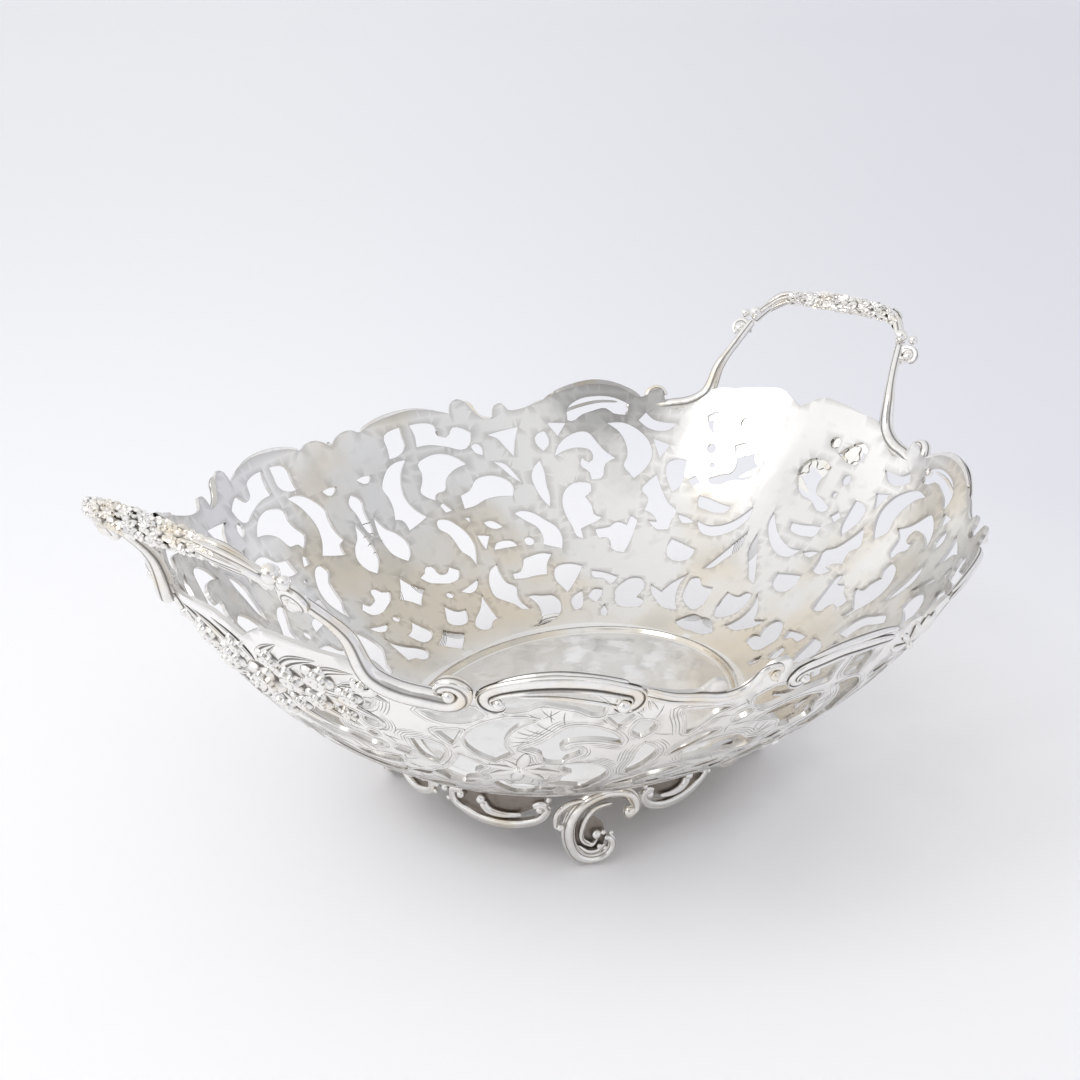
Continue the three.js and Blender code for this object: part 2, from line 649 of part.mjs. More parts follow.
// Handle: the point where leg and grip meet, in the quarter where X and Y are positive
function collarPoint() {
  return new THREE.Vector3(rimHalfLength + collarOut, collarSpread, rimHeight + collarUp);
}

// The scroll casting that runs along the rim and rises as one leg of a handle
function handleLeg() {
  const collar = collarPoint();
  const rimOut = sheet + seat + legRadius * 1.1;
  const root = wallSpot(71, 62, rimOut);
  const spots = [
    ...curl(62.6, 60.9, 1.2, 1.7, 0, 250, 5).map(([x, y]) => wallSpot(x, y, rimOut)),
    wallSpot(65.8, 59.5, rimOut),
    wallSpot(68.6, 60.2, rimOut),
    root,
    new THREE.Vector3().lerpVectors(root, collar, 0.4).add(new THREE.Vector3(-3, 0, 1)),
    new THREE.Vector3().lerpVectors(root, collar, 0.75).add(new THREE.Vector3(-2.4, 0, 0)),
    collar,
  ];
  const stem = rod(spots, (t) => legRadius * (0.65 + 0.45 * Math.sin(Math.PI * Math.min(t * 1.3, 1))), 24);
  const slope = new THREE.Vector3(collarOut, 0, collarUp).normalize();
  const volutePoint = (turn, reach) =>
    collar
      .clone()
      .addScaledVector(slope, voluteRadius * (reach * Math.sin(turn) - 1))
      .add(new THREE.Vector3(0, voluteRadius * (1.15 + Math.cos(turn) * reach), 0));
  const volute = [];
  for (let i = 0; i <= 6; i += 1) {
    volute.push(volutePoint(Math.PI * (1.1 - 0.25 * i), 1 - 0.09 * i));
  }
  const heart = volutePoint(0, 0);
  return join([
    stem,
    rod(volute, (t) => legRadius * (0.62 - 0.1 * t), 7),
    ballAt(ballRadius, heart),
  ]);
}

// The grip over one end, with its blossoms set off to one side
function handleGrip() {
  const collar = collarPoint();
  const before = new THREE.Vector3(rimHalfLength + collarOut - 3, collarSpread + 0.6, rimHeight + collarUp - 4);
  const start = collar.clone().add(collar.clone().sub(before).normalize().multiplyScalar(collarGap));
  const shoulder = new THREE.Vector3(rimHalfLength + gripOut - 3, shoulderSpread, rimHeight + gripUp - 2);
  const crown = new THREE.Vector3(rimHalfLength + gripOut, shoulderSpread / 2, rimHeight + gripUp);
  const half = [start, shoulder, crown];
  const mirrored = half.map((p) => new THREE.Vector3(p.x, -p.y, p.z)).reverse();
  const middle = new THREE.Vector3(rimHalfLength + gripOut + 0.5, 0, rimHeight + gripUp + 0.4);
  const bar = rod([...half, middle, ...mirrored], taperedGrip, 12);
  const blossoms = [-1, 0, 1].map((step) => {
    const centre = middle.clone().add(new THREE.Vector3(step % 2, step * blossomStep - blossomOffset, 0));
    const spot = (dx, dy, up) => centre.clone().add(new THREE.Vector3(dx, dy, up));
    return rose(spot, blossomRadius, gripSwell * 1.25);
  });
  return join([bar, ...blossoms]);
}

function taperedGrip(t) {
  return gripRadius + (gripSwell - gripRadius) * Math.sin(Math.PI * t) ** 2 - 0.25;
}

// A foot: one upright C scroll with a curled head and a curled toe, and its leaf between them.
// Its plane faces away from the middle of the basket; along runs towards the long side.
function foot() {
  const facing = new THREE.Vector3(
    footStandX / floorHalfLength ** 2,
    footStandY / floorHalfWidth ** 2,
    0,
  ).normalize();
  const along = new THREE.Vector3(-facing.y, facing.x, 0);
  const tall = floorHeight + 3;
  const spot = (l, share, out = 0) =>
    new THREE.Vector3(footStandX, footStandY, share * tall)
      .addScaledVector(along, l)
      .addScaledVector(facing, out);
  const scroll = [
    spot(10.4, 0.68), spot(12.6, 0.6), spot(14.6, 0.68), spot(13.4, 0.84), spot(8, 0.97), spot(1, 0.99),
    spot(-6, 0.86), spot(-9.2, 0.6), spot(-8.6, 0.34), spot(-4.6, 0.11), spot(0.5, 0.035),
    spot(5, 0.1), spot(6.6, 0.26), spot(4, 0.36),
  ];
  const leaf = [spot(-6.4, 0.5), spot(-3.4, 0.32), spot(1.4, 0.2)];
  const web = [spot(-6, 0.8), spot(0.4, 0.66), spot(0.6, 0.4)];
  const whole = join([
    rod(scroll, taper(footRadius, 0.6), 14),
    rod(leaf, taper(3.6, 0.6), 3),
    rod(web, taper(1.7, 0.8), 2, 4),
    ballAt(ballRadius * 0.9, spot(12.3, 0.68)),
    ballAt(ballRadius * 0.8, spot(0.6, 0.4)),
  ]);
  const ground = new THREE.BoxGeometry(80, 80, 20);
  ground.translate(footStandX, footStandY, -10);
  return whole.subtract(toSolid(ground)).subtract(trim);
}

// The apron between two feet: two facing C scrolls over a thin web, drawn about a middle line
function apron(middle, reach) {
  const scrolls = [-1, 1].flatMap((side) => {
    const at = (share, drop) => apronSpot(middle + side * share * reach, drop * apronDrop, 0);
    const outer = [
      at(0.84, 0.46), at(0.92, 0.36), at(0.97, 0.5), at(0.92, 0.76), at(0.76, 0.96), at(0.54, 1),
      at(0.3, 0.86), at(0.13, 0.56), at(0.13, 0.28), at(0.24, 0.24),
    ];
    const inner = [at(0.72, 0.2), at(0.62, 0.48), at(0.46, 0.6), at(0.36, 0.4)];
    return [rod(outer, taper(apronRadius, 0.7), 9, 4), rod(inner, taper(apronRadius * 0.8, 0.6), 2, 4)];
  });
  const web = [];
  const steps = 6;
  for (let i = 0; i <= steps; i += 1) {
    const share = (2 * i) / steps - 1;
    const x = middle + 0.94 * share * reach;
    const hang = apronDrop * (0.35 + 0.55 * Math.abs(Math.sin(Math.PI * share)));
    web.push([
      apronSpot(x, seat, -apronWeb / 2),
      apronSpot(x, seat, apronWeb / 2),
      apronSpot(x, hang, apronWeb / 2),
      apronSpot(x, hang, -apronWeb / 2),
    ]);
  }
  return join([...scrolls, loft(web)]);
}

place('bowl', bowl(), 0xd8d5cd);

const corners = [
  ['back_right', 1, 1],
  ['front_right', 1, -1],
  ['back_left', -1, 1],
  ['front_left', -1, -1],
];
const quarterCastings = [
  ['great_arch', greatArch(), 0xcfccc6],
  ['link_scroll', linkScroll(), 0xc9c6c0],
  ['small_arch', smallArch(), 0xcfccc6],
  ['handle_leg', handleLeg(), 0xd6d3cd],
  ['foot', foot(), 0xc2bfb8],
];
for (const [corner, sx, sy] of corners) {
  for (const [name, solid, color] of quarterCastings) place(`${name}_${corner}`, solid, color, sx, sy);
}

const grip = handleGrip();
place('handle_grip_right', grip, 0xd6d3cd);
place('handle_grip_left', grip, 0xd6d3cd, -1, -1);

const spray = endSpray();
place('flower_spray_right', spray, 0xbfbcb6);
place('flower_spray_left', spray, 0xbfbcb6, -1, -1);

const shell = middleShell();
place('middle_shell_back', shell, 0xc9c6c0);
place('middle_shell_front', shell, 0xc9c6c0, -1, -1);

const sideApron = apron(0, 27);
place('apron_back', sideApron, 0xbab6ae);
place('apron_front', sideApron, 0xbab6ae, -1, -1);
const endApron = apron(90, 32);
place('apron_right', endApron, 0xbab6ae);
place('apron_left', endApron, 0xbab6ae, -1, -1);

export default basket;
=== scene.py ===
"""A pierced silver bread basket on scroll feet, with cast mouldings and two fixed handles.

The shapes are worked out in millimetres and made metres when a piece is finished.
The wall of the basket is drawn flat, on a plan: x is degrees round the oval from the middle of a long
side, y climbs from the floor to the rim in steps that keep drawn shapes true as the wall spreads.
"""
import math

import bmesh
import bpy
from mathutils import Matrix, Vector
from mathutils.kdtree import KDTree


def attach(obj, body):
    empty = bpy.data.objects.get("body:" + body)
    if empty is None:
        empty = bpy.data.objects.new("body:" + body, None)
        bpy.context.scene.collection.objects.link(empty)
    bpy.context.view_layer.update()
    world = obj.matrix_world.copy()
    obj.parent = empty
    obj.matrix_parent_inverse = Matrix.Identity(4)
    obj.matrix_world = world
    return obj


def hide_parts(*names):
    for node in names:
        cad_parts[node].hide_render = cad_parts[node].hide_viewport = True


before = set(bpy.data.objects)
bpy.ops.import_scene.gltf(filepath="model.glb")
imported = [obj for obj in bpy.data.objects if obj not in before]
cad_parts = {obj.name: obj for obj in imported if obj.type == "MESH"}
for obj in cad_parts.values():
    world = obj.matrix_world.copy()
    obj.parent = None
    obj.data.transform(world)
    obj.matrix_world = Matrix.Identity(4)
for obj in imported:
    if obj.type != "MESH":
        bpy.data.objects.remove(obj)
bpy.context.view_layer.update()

MM = 0.001

# The sheet
RIM_HALF_LENGTH = 140
RIM_HALF_WIDTH = 126
RIM_HEIGHT = 95
FLOOR_HALF_LENGTH = 66
FLOOR_HALF_WIDTH = 53
FLOOR_HEIGHT = 24.5
FLOOR_SINK = 1.4
SHEET = 1.2
SOFTENED_EDGE = 0.16
SAWN_EDGE_SHADE = 0.42
WALL_SWELL = 0.45
PLAN_RIM = 60
PLAN_TOP = 69

# Handles, measured from the rim
COLLAR_OUT = 18
COLLAR_UP = 33.6
COLLAR_SPREAD = 34
SHOULDER_SPREAD = 26
GRIP_OUT = 30
GRIP_UP = 44.2
GRIP_RADIUS = 2
LEG_RADIUS = 2.5
VOLUTE_RADIUS = 4.2

# Feet and aprons
FOOT_STAND_X = 50
FOOT_STAND_Y = 45
APRON_DROP = 12.5
APRON_LINE = 4
APRON_LEAN = 0.15

# How finely the flat drawing is cut before it is bent into the wall
OUTLINE_STEP = 0.8
PLAN_COLUMN = 2.25
PLAN_ROW = 2
CORNER_TURN = math.radians(72)

# How finely a mesh is finished: corners this near are one, and blunter edges than this are smooth
MERGE = 0.004
SMOOTH_BELOW = math.radians(42)

# The chaser leaves a plain polished band low on the wall, and stops under the rim mouldings
CHASED_FROM = 7
CHASED_TO = 58.5


# The wall

def climb(y):
    return 2 ** (y / PLAN_RIM) - 1


def wall_face(x, y):
    """A point of the wall's inner face."""
    rise = climb(y)
    held = min(rise, 1)
    past = rise - held
    bend = held * math.pi / 2
    straight = 1 - WALL_SWELL
    steep = straight + WALL_SWELL * math.pi / 2
    reach = held * straight + WALL_SWELL * math.sin(bend) + past * straight
    lift = held * straight + WALL_SWELL * (1 - math.cos(bend)) + past * steep
    angle = math.radians(x)
    return Vector((
        (FLOOR_HALF_LENGTH + (RIM_HALF_LENGTH - FLOOR_HALF_LENGTH) * reach) * math.sin(angle),
        (FLOOR_HALF_WIDTH + (RIM_HALF_WIDTH - FLOOR_HALF_WIDTH) * reach) * math.cos(angle),
        FLOOR_HEIGHT + (RIM_HEIGHT - FLOOR_HEIGHT) * lift,
    ))


def wall_normal(x, y):
    step = 0.05
    along = wall_face(x + step, y) - wall_face(x - step, y)
    up = wall_face(x, y + step) - wall_face(x, y - step)
    return up.cross(along).normalized()


def wall_spot(x, y, out):
    """A point that stands a given distance outside the wall's inner face."""
    return wall_face(x, y) + wall_normal(x, y) * out


def facing_out(x):
    angle = math.radians(x)
    return Vector((math.sin(angle) / FLOOR_HALF_LENGTH, math.cos(angle) / FLOOR_HALF_WIDTH, 0)).normalized()


def apron_spot(x, drop, out):
    """A point of the apron, which hangs under the wall and draws in a little as it drops."""
    top = wall_spot(x, APRON_LINE, SHEET)
    return top + facing_out(x) * (out - APRON_LEAN * drop) - Vector((0, 0, drop))


# Drawn lines

def flowing(points, step, closed=False, spans=None):
    """A smooth line through the given points, or a number of its spans; sharp corners stay sharp."""
    points = [Vector(p) for p in points]
    count = len(points)
    spans = spans or (count if closed else count - 1)

    def lean(i):
        """The direction of the line at a point, or nothing at a corner or an open end."""
        before = points[i] - points[i - 1]
        after = points[(i + 1) % count] - points[i]
        open_end = not closed and i in (0, count - 1)
        if open_end or before.angle(after, 0) > CORNER_TURN:
            return points[0] * 0
        return (before.normalized() * after.length + after.normalized() * before.length).normalized()

    line = [points[0].copy()]
    for i in range(spans):
        start = points[i]
        end = points[(i + 1) % count]
        length = (end - start).length
        leave = lean(i) * length
        arrive = lean((i + 1) % count) * length
        cuts = max(2, round(length / step))
        for k in range(1, cuts + 1):
            t = k / cuts
            line.append(
                start * (2 * t ** 3 - 3 * t ** 2 + 1)
                + leave * (t ** 3 - 2 * t ** 2 + t)
                + end * (3 * t ** 2 - 2 * t ** 3)
                + arrive * (t ** 3 - t ** 2)
            )
    return line[:-1] if closed and spans == count else line


class Course:
    """A smooth line that is read by the share of its length."""

    def __init__(self, points, step=0.6):
        self.line = flowing(points, step)
        self.marks = [0.0]
        for a, b in zip(self.line, self.line[1:]):
            self.marks.append(self.marks[-1] + (b - a).length)
        self.length = self.marks[-1]

    def at(self, share):
        want = min(max(share, 0), 1) * self.length
        low = 0
        high = len(self.marks) - 1
        while high - low > 1:
            middle = (low + high) // 2
            if self.marks[middle] <= want:
                low = middle
            else:
                high = middle
        span = self.marks[high] - self.marks[low]
        part = (want - self.marks[low]) / span if span else 0
        return self.line[low].lerp(self.line[high], part)


def curl(centre_x, centre_y, start_radius, end_radius, start, sweep, count=8):
    """Points of a spiral on the plan; angles are in degrees."""
    points = []
    for i in range(count + 1):
        share = i / count
        turn = math.radians(start + sweep * share)
        radius = start_radius + (end_radius - start_radius) * share
        points.append((centre_x + radius * math.cos(turn), centre_y + radius * math.sin(turn)))
    return points


def on_circle(radius, share):
    """A point of a circle, at a share of the way round it."""
    turn = 2 * math.pi * share
    return radius * math.cos(turn), radius * math.sin(turn)


# Meshes

def new_shape():
    shape = bmesh.new()
    shape.verts.layers.float.new("recess")
    return shape


def wrapped(shape, spot, along, around, shade=None):
    """A sheet of faces whose corners are placed by spot(u, w); it closes where its edges meet."""
    made = bmesh.ops.create_grid(shape, x_segments=along, y_segments=around, size=1)
    recess = shape.verts.layers.float["recess"]
    for corner in made["verts"]:
        u = (corner.co.x + 1) / 2
        w = (corner.co.y + 1) / 2
        corner.co = spot(u, w)
        corner[recess] = shade(u, w) if shade else 0


def rounded(share, end):
    """Goes from 0 to 1 in a quarter circle over the first and the last part of a length."""
    near = min(share, 1 - share, end) / end
    return math.sqrt(max(0, 1 - (1 - near) ** 2))


def swelling(thick, thin, end=0.08):
    """Half the width of a casting that is full in the middle and has rounded tips."""
    return lambda u: thick * (thin + (1 - thin) * math.sin(math.pi * u)) * rounded(u, end)


def half_round(rise=1.0):
    """The cross-section of a plain rounded moulding: how far across and how high it is on its way round."""
    def profile(w):
        turn = 2 * math.pi * w
        return math.cos(turn), rise * max(math.sin(turn), -0.2)
    return profile


def bordered(w):
    """The cross-section of a polished band between two raised beads."""
    bead_at = 0.85
    bead_wide = 0.15
    band_wide = 0.58
    turn = 2 * math.pi * w
    across = math.cos(turn)
    if math.sin(turn) < 0:
        return across, -0.1
    side = abs(across)
    bead = 0.36 * math.sqrt(max(0, 1 - ((side - bead_at) / bead_wide) ** 2))
    crown = 0.24 * (1 - (side / band_wide) ** 2)
    return across, 0.1 + max(bead, crown, 0)


def leaf_section(w):
    """The cross-section of a leaf: a rib along its middle and one along each edge."""
    turn = 2 * math.pi * w
    across = math.cos(turn)
    if math.sin(turn) < 0:
        return across, -0.1
    rib = 0.5 + 0.5 * math.cos(2 * math.pi * across)
    return across, 0.07 + 0.32 * rib * (1 - across ** 8)


def moulding(shape, points, half_width, along=40, around=12, profile=half_round(), base=SHEET, painted_shade=False):
    """A moulding laid on the outside of the wall along a drawn path, with painted shade in its hollows or
    all over.
    """
    course = Course(points)
    nudge = 0.012
    stations = []
    for i in range(along + 1):
        share = i / along
        place = course.at(share)
        ahead = course.at(share + nudge)
        behind = course.at(share - nudge)
        normal = wall_normal(place.x, place.y)
        across = (wall_spot(ahead.x, ahead.y, base) - wall_spot(behind.x, behind.y, base)).cross(normal)
        stations.append((wall_spot(place.x, place.y, base), across.normalized(), normal))

    def spot(u, w):
        middle, across, normal = stations[round(u * along)]
        sideways, height = profile(w)
        return middle + across * (half_width(u) * sideways) + normal * (half_width(u) * height)

    # painted shade: full in the hollows and where the moulding meets the sheet, none on its underside
    def shade(u, w):
        height = profile(w)[1]
        if painted_shade:
            return 1
        underside = height < -0.01
        return 0 if underside else max(0, min(1, 1.9 - 9 * height))

    wrapped(shape, spot, along, around, shade)


def rod(shape, points, radius, along=40, around=12, flutes=0, flute_depth=0.0):
    """A round or fluted bar along points in space."""
    course = Course(points, 1.0)
    stations = []
    tangent = (course.at(0.01) - course.at(0)).normalized()
    side = tangent.orthogonal().normalized()
    for i in range(along + 1):
        share = i / along
        tangent = (course.at(share + 0.01) - course.at(share - 0.01)).normalized()
        side = (side - tangent * side.dot(tangent)).normalized()
        stations.append((course.at(share), side.copy(), tangent.cross(side)))

    def spot(u, w):
        centre, across, up = stations[round(u * along)]
        turn = 2 * math.pi * w
        reach = radius(u) * (1 + flute_depth * math.cos(flutes * turn))
        return centre + across * (reach * math.cos(turn)) + up * (reach * math.sin(turn))

    # painted shade along the valleys of the flutes
    def shade(u, w):
        return 0.8 * max(0, -math.cos(flutes * 2 * math.pi * w)) ** 4 if flutes else 0

    wrapped(shape, spot, along, around, shade)


def ball(shape, centre, radius):
    def spot(u, w):
        polar = math.pi * u
        return centre + Vector((*on_circle(radius * math.sin(polar), w), radius * math.cos(polar)))
    wrapped(shape, spot, 10, 14)


def blossom(shape, spot_on, radius, height, turned):
    """A flower of two rows of petals round an eye; spot_on(dx, dy, up) puts each point in its place."""
    petals = 5
    petal_edge = 0.8

    def row(share, lift, twist, bowl):
        def spot(u, w):
            turn = 2 * math.pi * w
            wave = 1 + 0.17 * math.cos(petals * (turn + twist))
            reach = radius * share * wave * min(u / petal_edge, 1)
            if u > petal_edge:
                up = lift - height * (u - petal_edge) * 3.2
            else:
                cup = bowl * (u / petal_edge) ** 2 - 0.16 * math.cos(petals * (turn + twist) + math.pi) * u
                up = lift + height * (0.15 + cup)
            return spot_on(*on_circle(reach, w), up)

        # painted shade between the petals, at their rims and round the eye
        def shade(u, w):
            between = 0.5 - 0.5 * math.cos(petals * (2 * math.pi * w + twist))
            return min(1, 0.9 * between ** 3 * u + max(0, u - 0.85) * 5 + max(0, 0.3 - u) * 1.6)
        wrapped(shape, spot, 10, petals * 8, shade)

    row(1, height * 0.25, turned, 0.32)
    row(0.62, height * 0.55, turned + math.pi / petals, 0.3)

    def eye(u, w):
        reach = radius * 0.2 * math.sin(math.pi * u)
        up = height * (0.78 + 0.2 * math.cos(math.pi * u))
        return spot_on(*on_circle(reach, w), up)
    wrapped(shape, eye, 6, 10)


def finished(shape, name, material, unit):
    """Makes an object of a shape: corners merged, faces outwards and smooth, sharp edges kept."""
    bmesh.ops.remove_doubles(shape, verts=shape.verts, dist=MERGE)
    bmesh.ops.recalc_face_normals(shape, faces=shape.faces)
    bmesh.ops.scale(shape, vec=(unit, unit, unit), verts=shape.verts)
    for face in shape.faces:
        face.smooth = True
    for edge in shape.edges:
        edge.smooth = not edge.is_manifold or edge.calc_face_angle() < SMOOTH_BELOW
    mesh = bpy.data.meshes.new(name)
    shape.to_mesh(mesh)
    shape.free()
    mesh.materials.append(material)
    obj = bpy.data.objects.new(name, mesh)
    bpy.context.scene.collection.objects.link(obj)
    return obj


def piece(shape, name, silver, stands_for=()):
    """Finishes a shape as a named piece of the basket."""
    obj = finished(shape, name, silver, MM)
    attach(obj, "root")
    if stands_for:
        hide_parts(*stands_for)
    return obj


# Where a casting is repeated: what the copy is called, and how it is mirrored along x and along y
CORNERS = [("back_right", 1, 1), ("front_right", 1, -1), ("back_left", -1, 1), ("front_left", -1, -1)]
ENDS = [("right", 1, 1), ("left", -1, -1)]
SIDES = [("back", 1, 1), ("front", -1, -1)]


def repeated(make, places, name, node, silver):
    """Makes a casting once, and a mirrored or half-turned copy of it for each of its places."""
    first = new_shape()
    make(first)
    for label, side_x, side_y in places:
        shape = first.copy()
        bmesh.ops.scale(shape, vec=(side_x, side_y, 1), verts=shape.verts)
        piece(shape, f"{name}_{label}", silver, [f"{node}_{label}"] if node else [])
    first.free()


# The drawing of one quarter, as the saw leaves it

RIM_LINE = [
    (0, 58.6), (1.2, 59.8), (3.4, 60.7), (5, 60.5), (6, 59.9), (8.5, 60.7), (13, 61.5), (17, 61.8),
    (20.5, 61.2), (24, 60), (24.4, 61.8), (25.6, 62.5), (27, 61.8), (28.6, 59.6), (30.4, 58.2),
    (31.8, 58.2), (32.4, 60.6), (33.6, 60.9), (34.8, 59.5), (37, 59.5), (40, 60.4), (43, 61.7),
    (46.5, 62.9), (51, 63.6), (55, 63.1), (60, 61.4), (61.6, 62.7), (63.4, 62.8), (64.2, 60.6),
    (66, 59.3), (68.4, 60), (70.6, 61.9), (73, 63.6), (77, 64.1), (82, 64.9), (86, 65),
    (88.6, 63.6), (90, 62.7),
]

OPENINGS_BY_THE_SHELL = [
    [(10.7, 58.2), (12.5, 58.9), (14.2, 59.1), (14.2, 57.2), (14.3, 55.8), (13.6, 54.7), (11.8, 53.9),
     (10.4, 53.8), (10.6, 55.5)],
    [(15.9, 59.1), (18.5, 59.1), (20.7, 58.3), (21.2, 56.4), (22.5, 55.8), (24, 57.4), (27.3, 56),
     (26.5, 53.5), (25.5, 53), (22, 54), (18.5, 54.9), (16.3, 54.9), (16.5, 57)],
    [(2.3, 51.7), (3.8, 52), (5.6, 51.8), (5, 50.8), (3.5, 50.6)],
    [(13.6, 53), (11.8, 53), (9.5, 52.2), (7.8, 50.5), (6.8, 48.8), (7.3, 46.5), (7.2, 44), (6.5, 42),
     (8, 41.5), (8.5, 39), (11.5, 40), (13.8, 41), (12, 43), (10.8, 46), (11.3, 49.5), (12.3, 51.5)],
    [(15.5, 51.5), (17.5, 52.6), (22, 52.5), (24, 51.3), (25.3, 50), (22.5, 49.3), (20.5, 47.8),
     (19.5, 45.5), (17.3, 45), (16.8, 43.8), (15, 45), (14.3, 46), (15.3, 48), (15.8, 49.8)],
    [(17.3, 42.5), (18.3, 43), (19.8, 41), (18, 40.8)],
    [(22.3, 40.8), (22.3, 43.8), (24.5, 44.5), (26.3, 46.5), (28.8, 47.1), (31.5, 46.5), (33.8, 44.3),
     (33.3, 42), (30.5, 42.3), (27.5, 42.1), (24.5, 41)],
    [(26.8, 53.3), (27.8, 53.8), (29, 52.8), (28.8, 51.3), (27.3, 52)],
    [(30.5, 49.8), (32.5, 49.3), (34.8, 46.5), (35.9, 44.5), (34, 46), (32, 48.3)],
    [(30.3, 55.1), (33, 55.6), (36.4, 56.1), (35.5, 53.5), (34.9, 50.3), (33.3, 52.5), (32, 54.3)],
    [(40, 54.5), (41.3, 54.9), (42, 53.5), (41.9, 52), (40.8, 51), (39.8, 52), (39.3, 53.5)],
    [(41.8, 56.6), (43.5, 56.4), (45.4, 56.3), (43.8, 53.8), (42.5, 55.5)],
    [(40, 49.1), (38.8, 48), (37.9, 46), (38.5, 43), (40, 40), (41, 38.8), (41.3, 41), (40.8, 44),
     (40.6, 47)],
    [(2.4, 44.3), (1.5, 41), (1.3, 38), (2, 35), (4.5, 32.6), (6, 34), (6.8, 37), (5.5, 39.5), (3.8, 41)],
    [(15.5, 39.5), (17.5, 39.5), (19.8, 37.5), (21.3, 35), (21.8, 32.5), (21.3, 30), (20.2, 26.8),
     (19.5, 29.3), (18.1, 31), (17.5, 33.5), (16.8, 35.8), (15, 38)],
]

OPENINGS_LOW_ON_THE_SIDE = [
    [(4.7, 27.8), (6.5, 28.5), (7.5, 29.8), (9.3, 29.8), (10.3, 27.3), (12.3, 27), (13.3, 28.5),
     (15.4, 27), (14.3, 24.8), (11.5, 24), (8.5, 24.8), (6, 26)],
    [(25.5, 37), (27.3, 37.3), (29.8, 35.3), (28, 34.9), (26, 36)],
    [(21.5, 38.9), (22.8, 38.8), (22.5, 37.5)],
    [(23, 34.5), (26, 33.8), (25, 32), (24, 30.3), (23.4, 32.3)],
    [(26, 29.8), (26.8, 31.3), (29, 32), (31.3, 31.3), (32.1, 29.9)],
    [(32.8, 38), (34, 38.5), (36.8, 38), (39.5, 36), (42, 34), (43.1, 31.5), (42.8, 28), (41, 28.5),
     (38.3, 29.5), (38.5, 31.5), (37.5, 34), (35, 36)],
    [(32.5, 26), (35, 27), (38, 27.4), (40, 26.8), (38.3, 24), (37.8, 20.8), (34.5, 20.8), (31.3, 20.5),
     (28.5, 20.8), (28.6, 22.8), (31, 23), (32, 24.5)],
    [(25.3, 26), (23.5, 25), (21.8, 22.5), (21, 19.5), (21.3, 16.5), (23.5, 14.5), (26, 12.5),
     (27.5, 10.5), (30.5, 10.3), (28.3, 13.5), (27.8, 16), (28.3, 18.8), (26.3, 20.5), (25.4, 23.5)],
    [(30.3, 14.8), (32, 15.1), (35, 14.5), (38.5, 14), (40, 12), (40, 9), (38.8, 6.3), (35.5, 4), (32, 3),
     (28.5, 3), (31.5, 4.5), (33, 7.5), (32.8, 11)],
    [(17.8, 18.5), (18.1, 15.5), (18.5, 12), (18.9, 9.5), (16.5, 8.8), (14.5, 6.8), (12, 6.8), (10.3, 9),
     (11.5, 11), (14.5, 13.5), (16.5, 16)],
    [(12.6, 21), (15.5, 21.8), (18.8, 23), (17.3, 20.5), (15, 19.6)],
    [(6, 18.8), (6.8, 17.5), (8.8, 15.8), (11, 15.5), (10, 13), (9, 11.5), (5.5, 11.3), (3.3, 13.3),
     (4.5, 16)],
    [(40.8, 23), (44, 23.8), (47.8, 22.8), (46.8, 20.5), (44.5, 16.5), (42.8, 14.3), (41.3, 16.5),
     (40, 18.5)],
]

OPENINGS_ROUND_THE_FLOWER = [
    [(45.8, 56.8), (45.8, 59), (47.5, 60.5), (51, 61.3), (54.5, 61), (57.3, 59.8), (57.1, 57.8),
     (54.5, 58), (53, 59), (50.5, 58.5), (48.5, 57.8), (46.5, 56.6)],
    [(59.3, 56.8), (60.6, 58.3), (62, 57.1), (64.5, 56.6), (66.8, 56.6), (65.5, 55.3), (63, 54.9),
     (61, 55.5)],
    [(43, 49.8), (43.8, 51.8), (46, 53.8), (49.5, 54.4), (51.3, 52.5), (52.8, 50.8), (55.3, 49.1),
     (53.3, 48), (52.4, 44.8), (50.4, 44.5), (50, 46), (48.1, 47.8), (48.5, 49.3), (49.8, 48.3),
     (50.6, 48.8), (50.3, 50.5), (48, 51.3), (45.5, 51)],
    [(53.3, 56.1), (56, 56.3), (59.5, 54.8), (61.8, 52.5), (62.6, 50), (61.5, 47), (59.3, 44.9),
     (58.3, 46), (57, 47.5), (57.6, 49.5), (57, 52.5), (55.3, 54.8)],
    [(44.5, 42), (46.8, 44), (50, 43.9), (50.3, 42), (49, 40.8), (50.5, 38.5), (50.8, 36.8), (52.8, 36),
     (52.3, 35.3), (49.5, 33.8), (47.8, 33), (48.4, 30.3), (47, 30.8), (45.8, 33.5), (44.3, 37),
     (43.9, 40)],
    [(64, 46), (65.5, 43), (67.5, 40), (70, 37.8), (69.3, 36), (69, 33.5), (66, 33.3), (63.8, 35.3),
     (65.8, 35.3), (65, 36.5), (62.3, 37.8), (63, 40.5), (61.3, 42.5), (62.5, 44.5)],
    [(51.4, 32), (51.5, 33), (54.5, 33.5), (56.5, 34.8), (58.8, 34), (59.5, 36.3), (61, 35.5), (60.8, 33),
     (59.8, 29), (58.8, 26.5), (55.5, 27.5), (55.1, 29.5), (54, 30.6), (52.3, 30.3)],
    [(62.5, 53.3), (66, 52.3), (64.3, 49.4), (63.3, 51.5)],
    [(66, 48.5), (68, 49.6), (70, 49.5), (70, 47), (69.3, 43.5), (68, 42.4), (66.8, 44.5), (65.9, 47)],
]

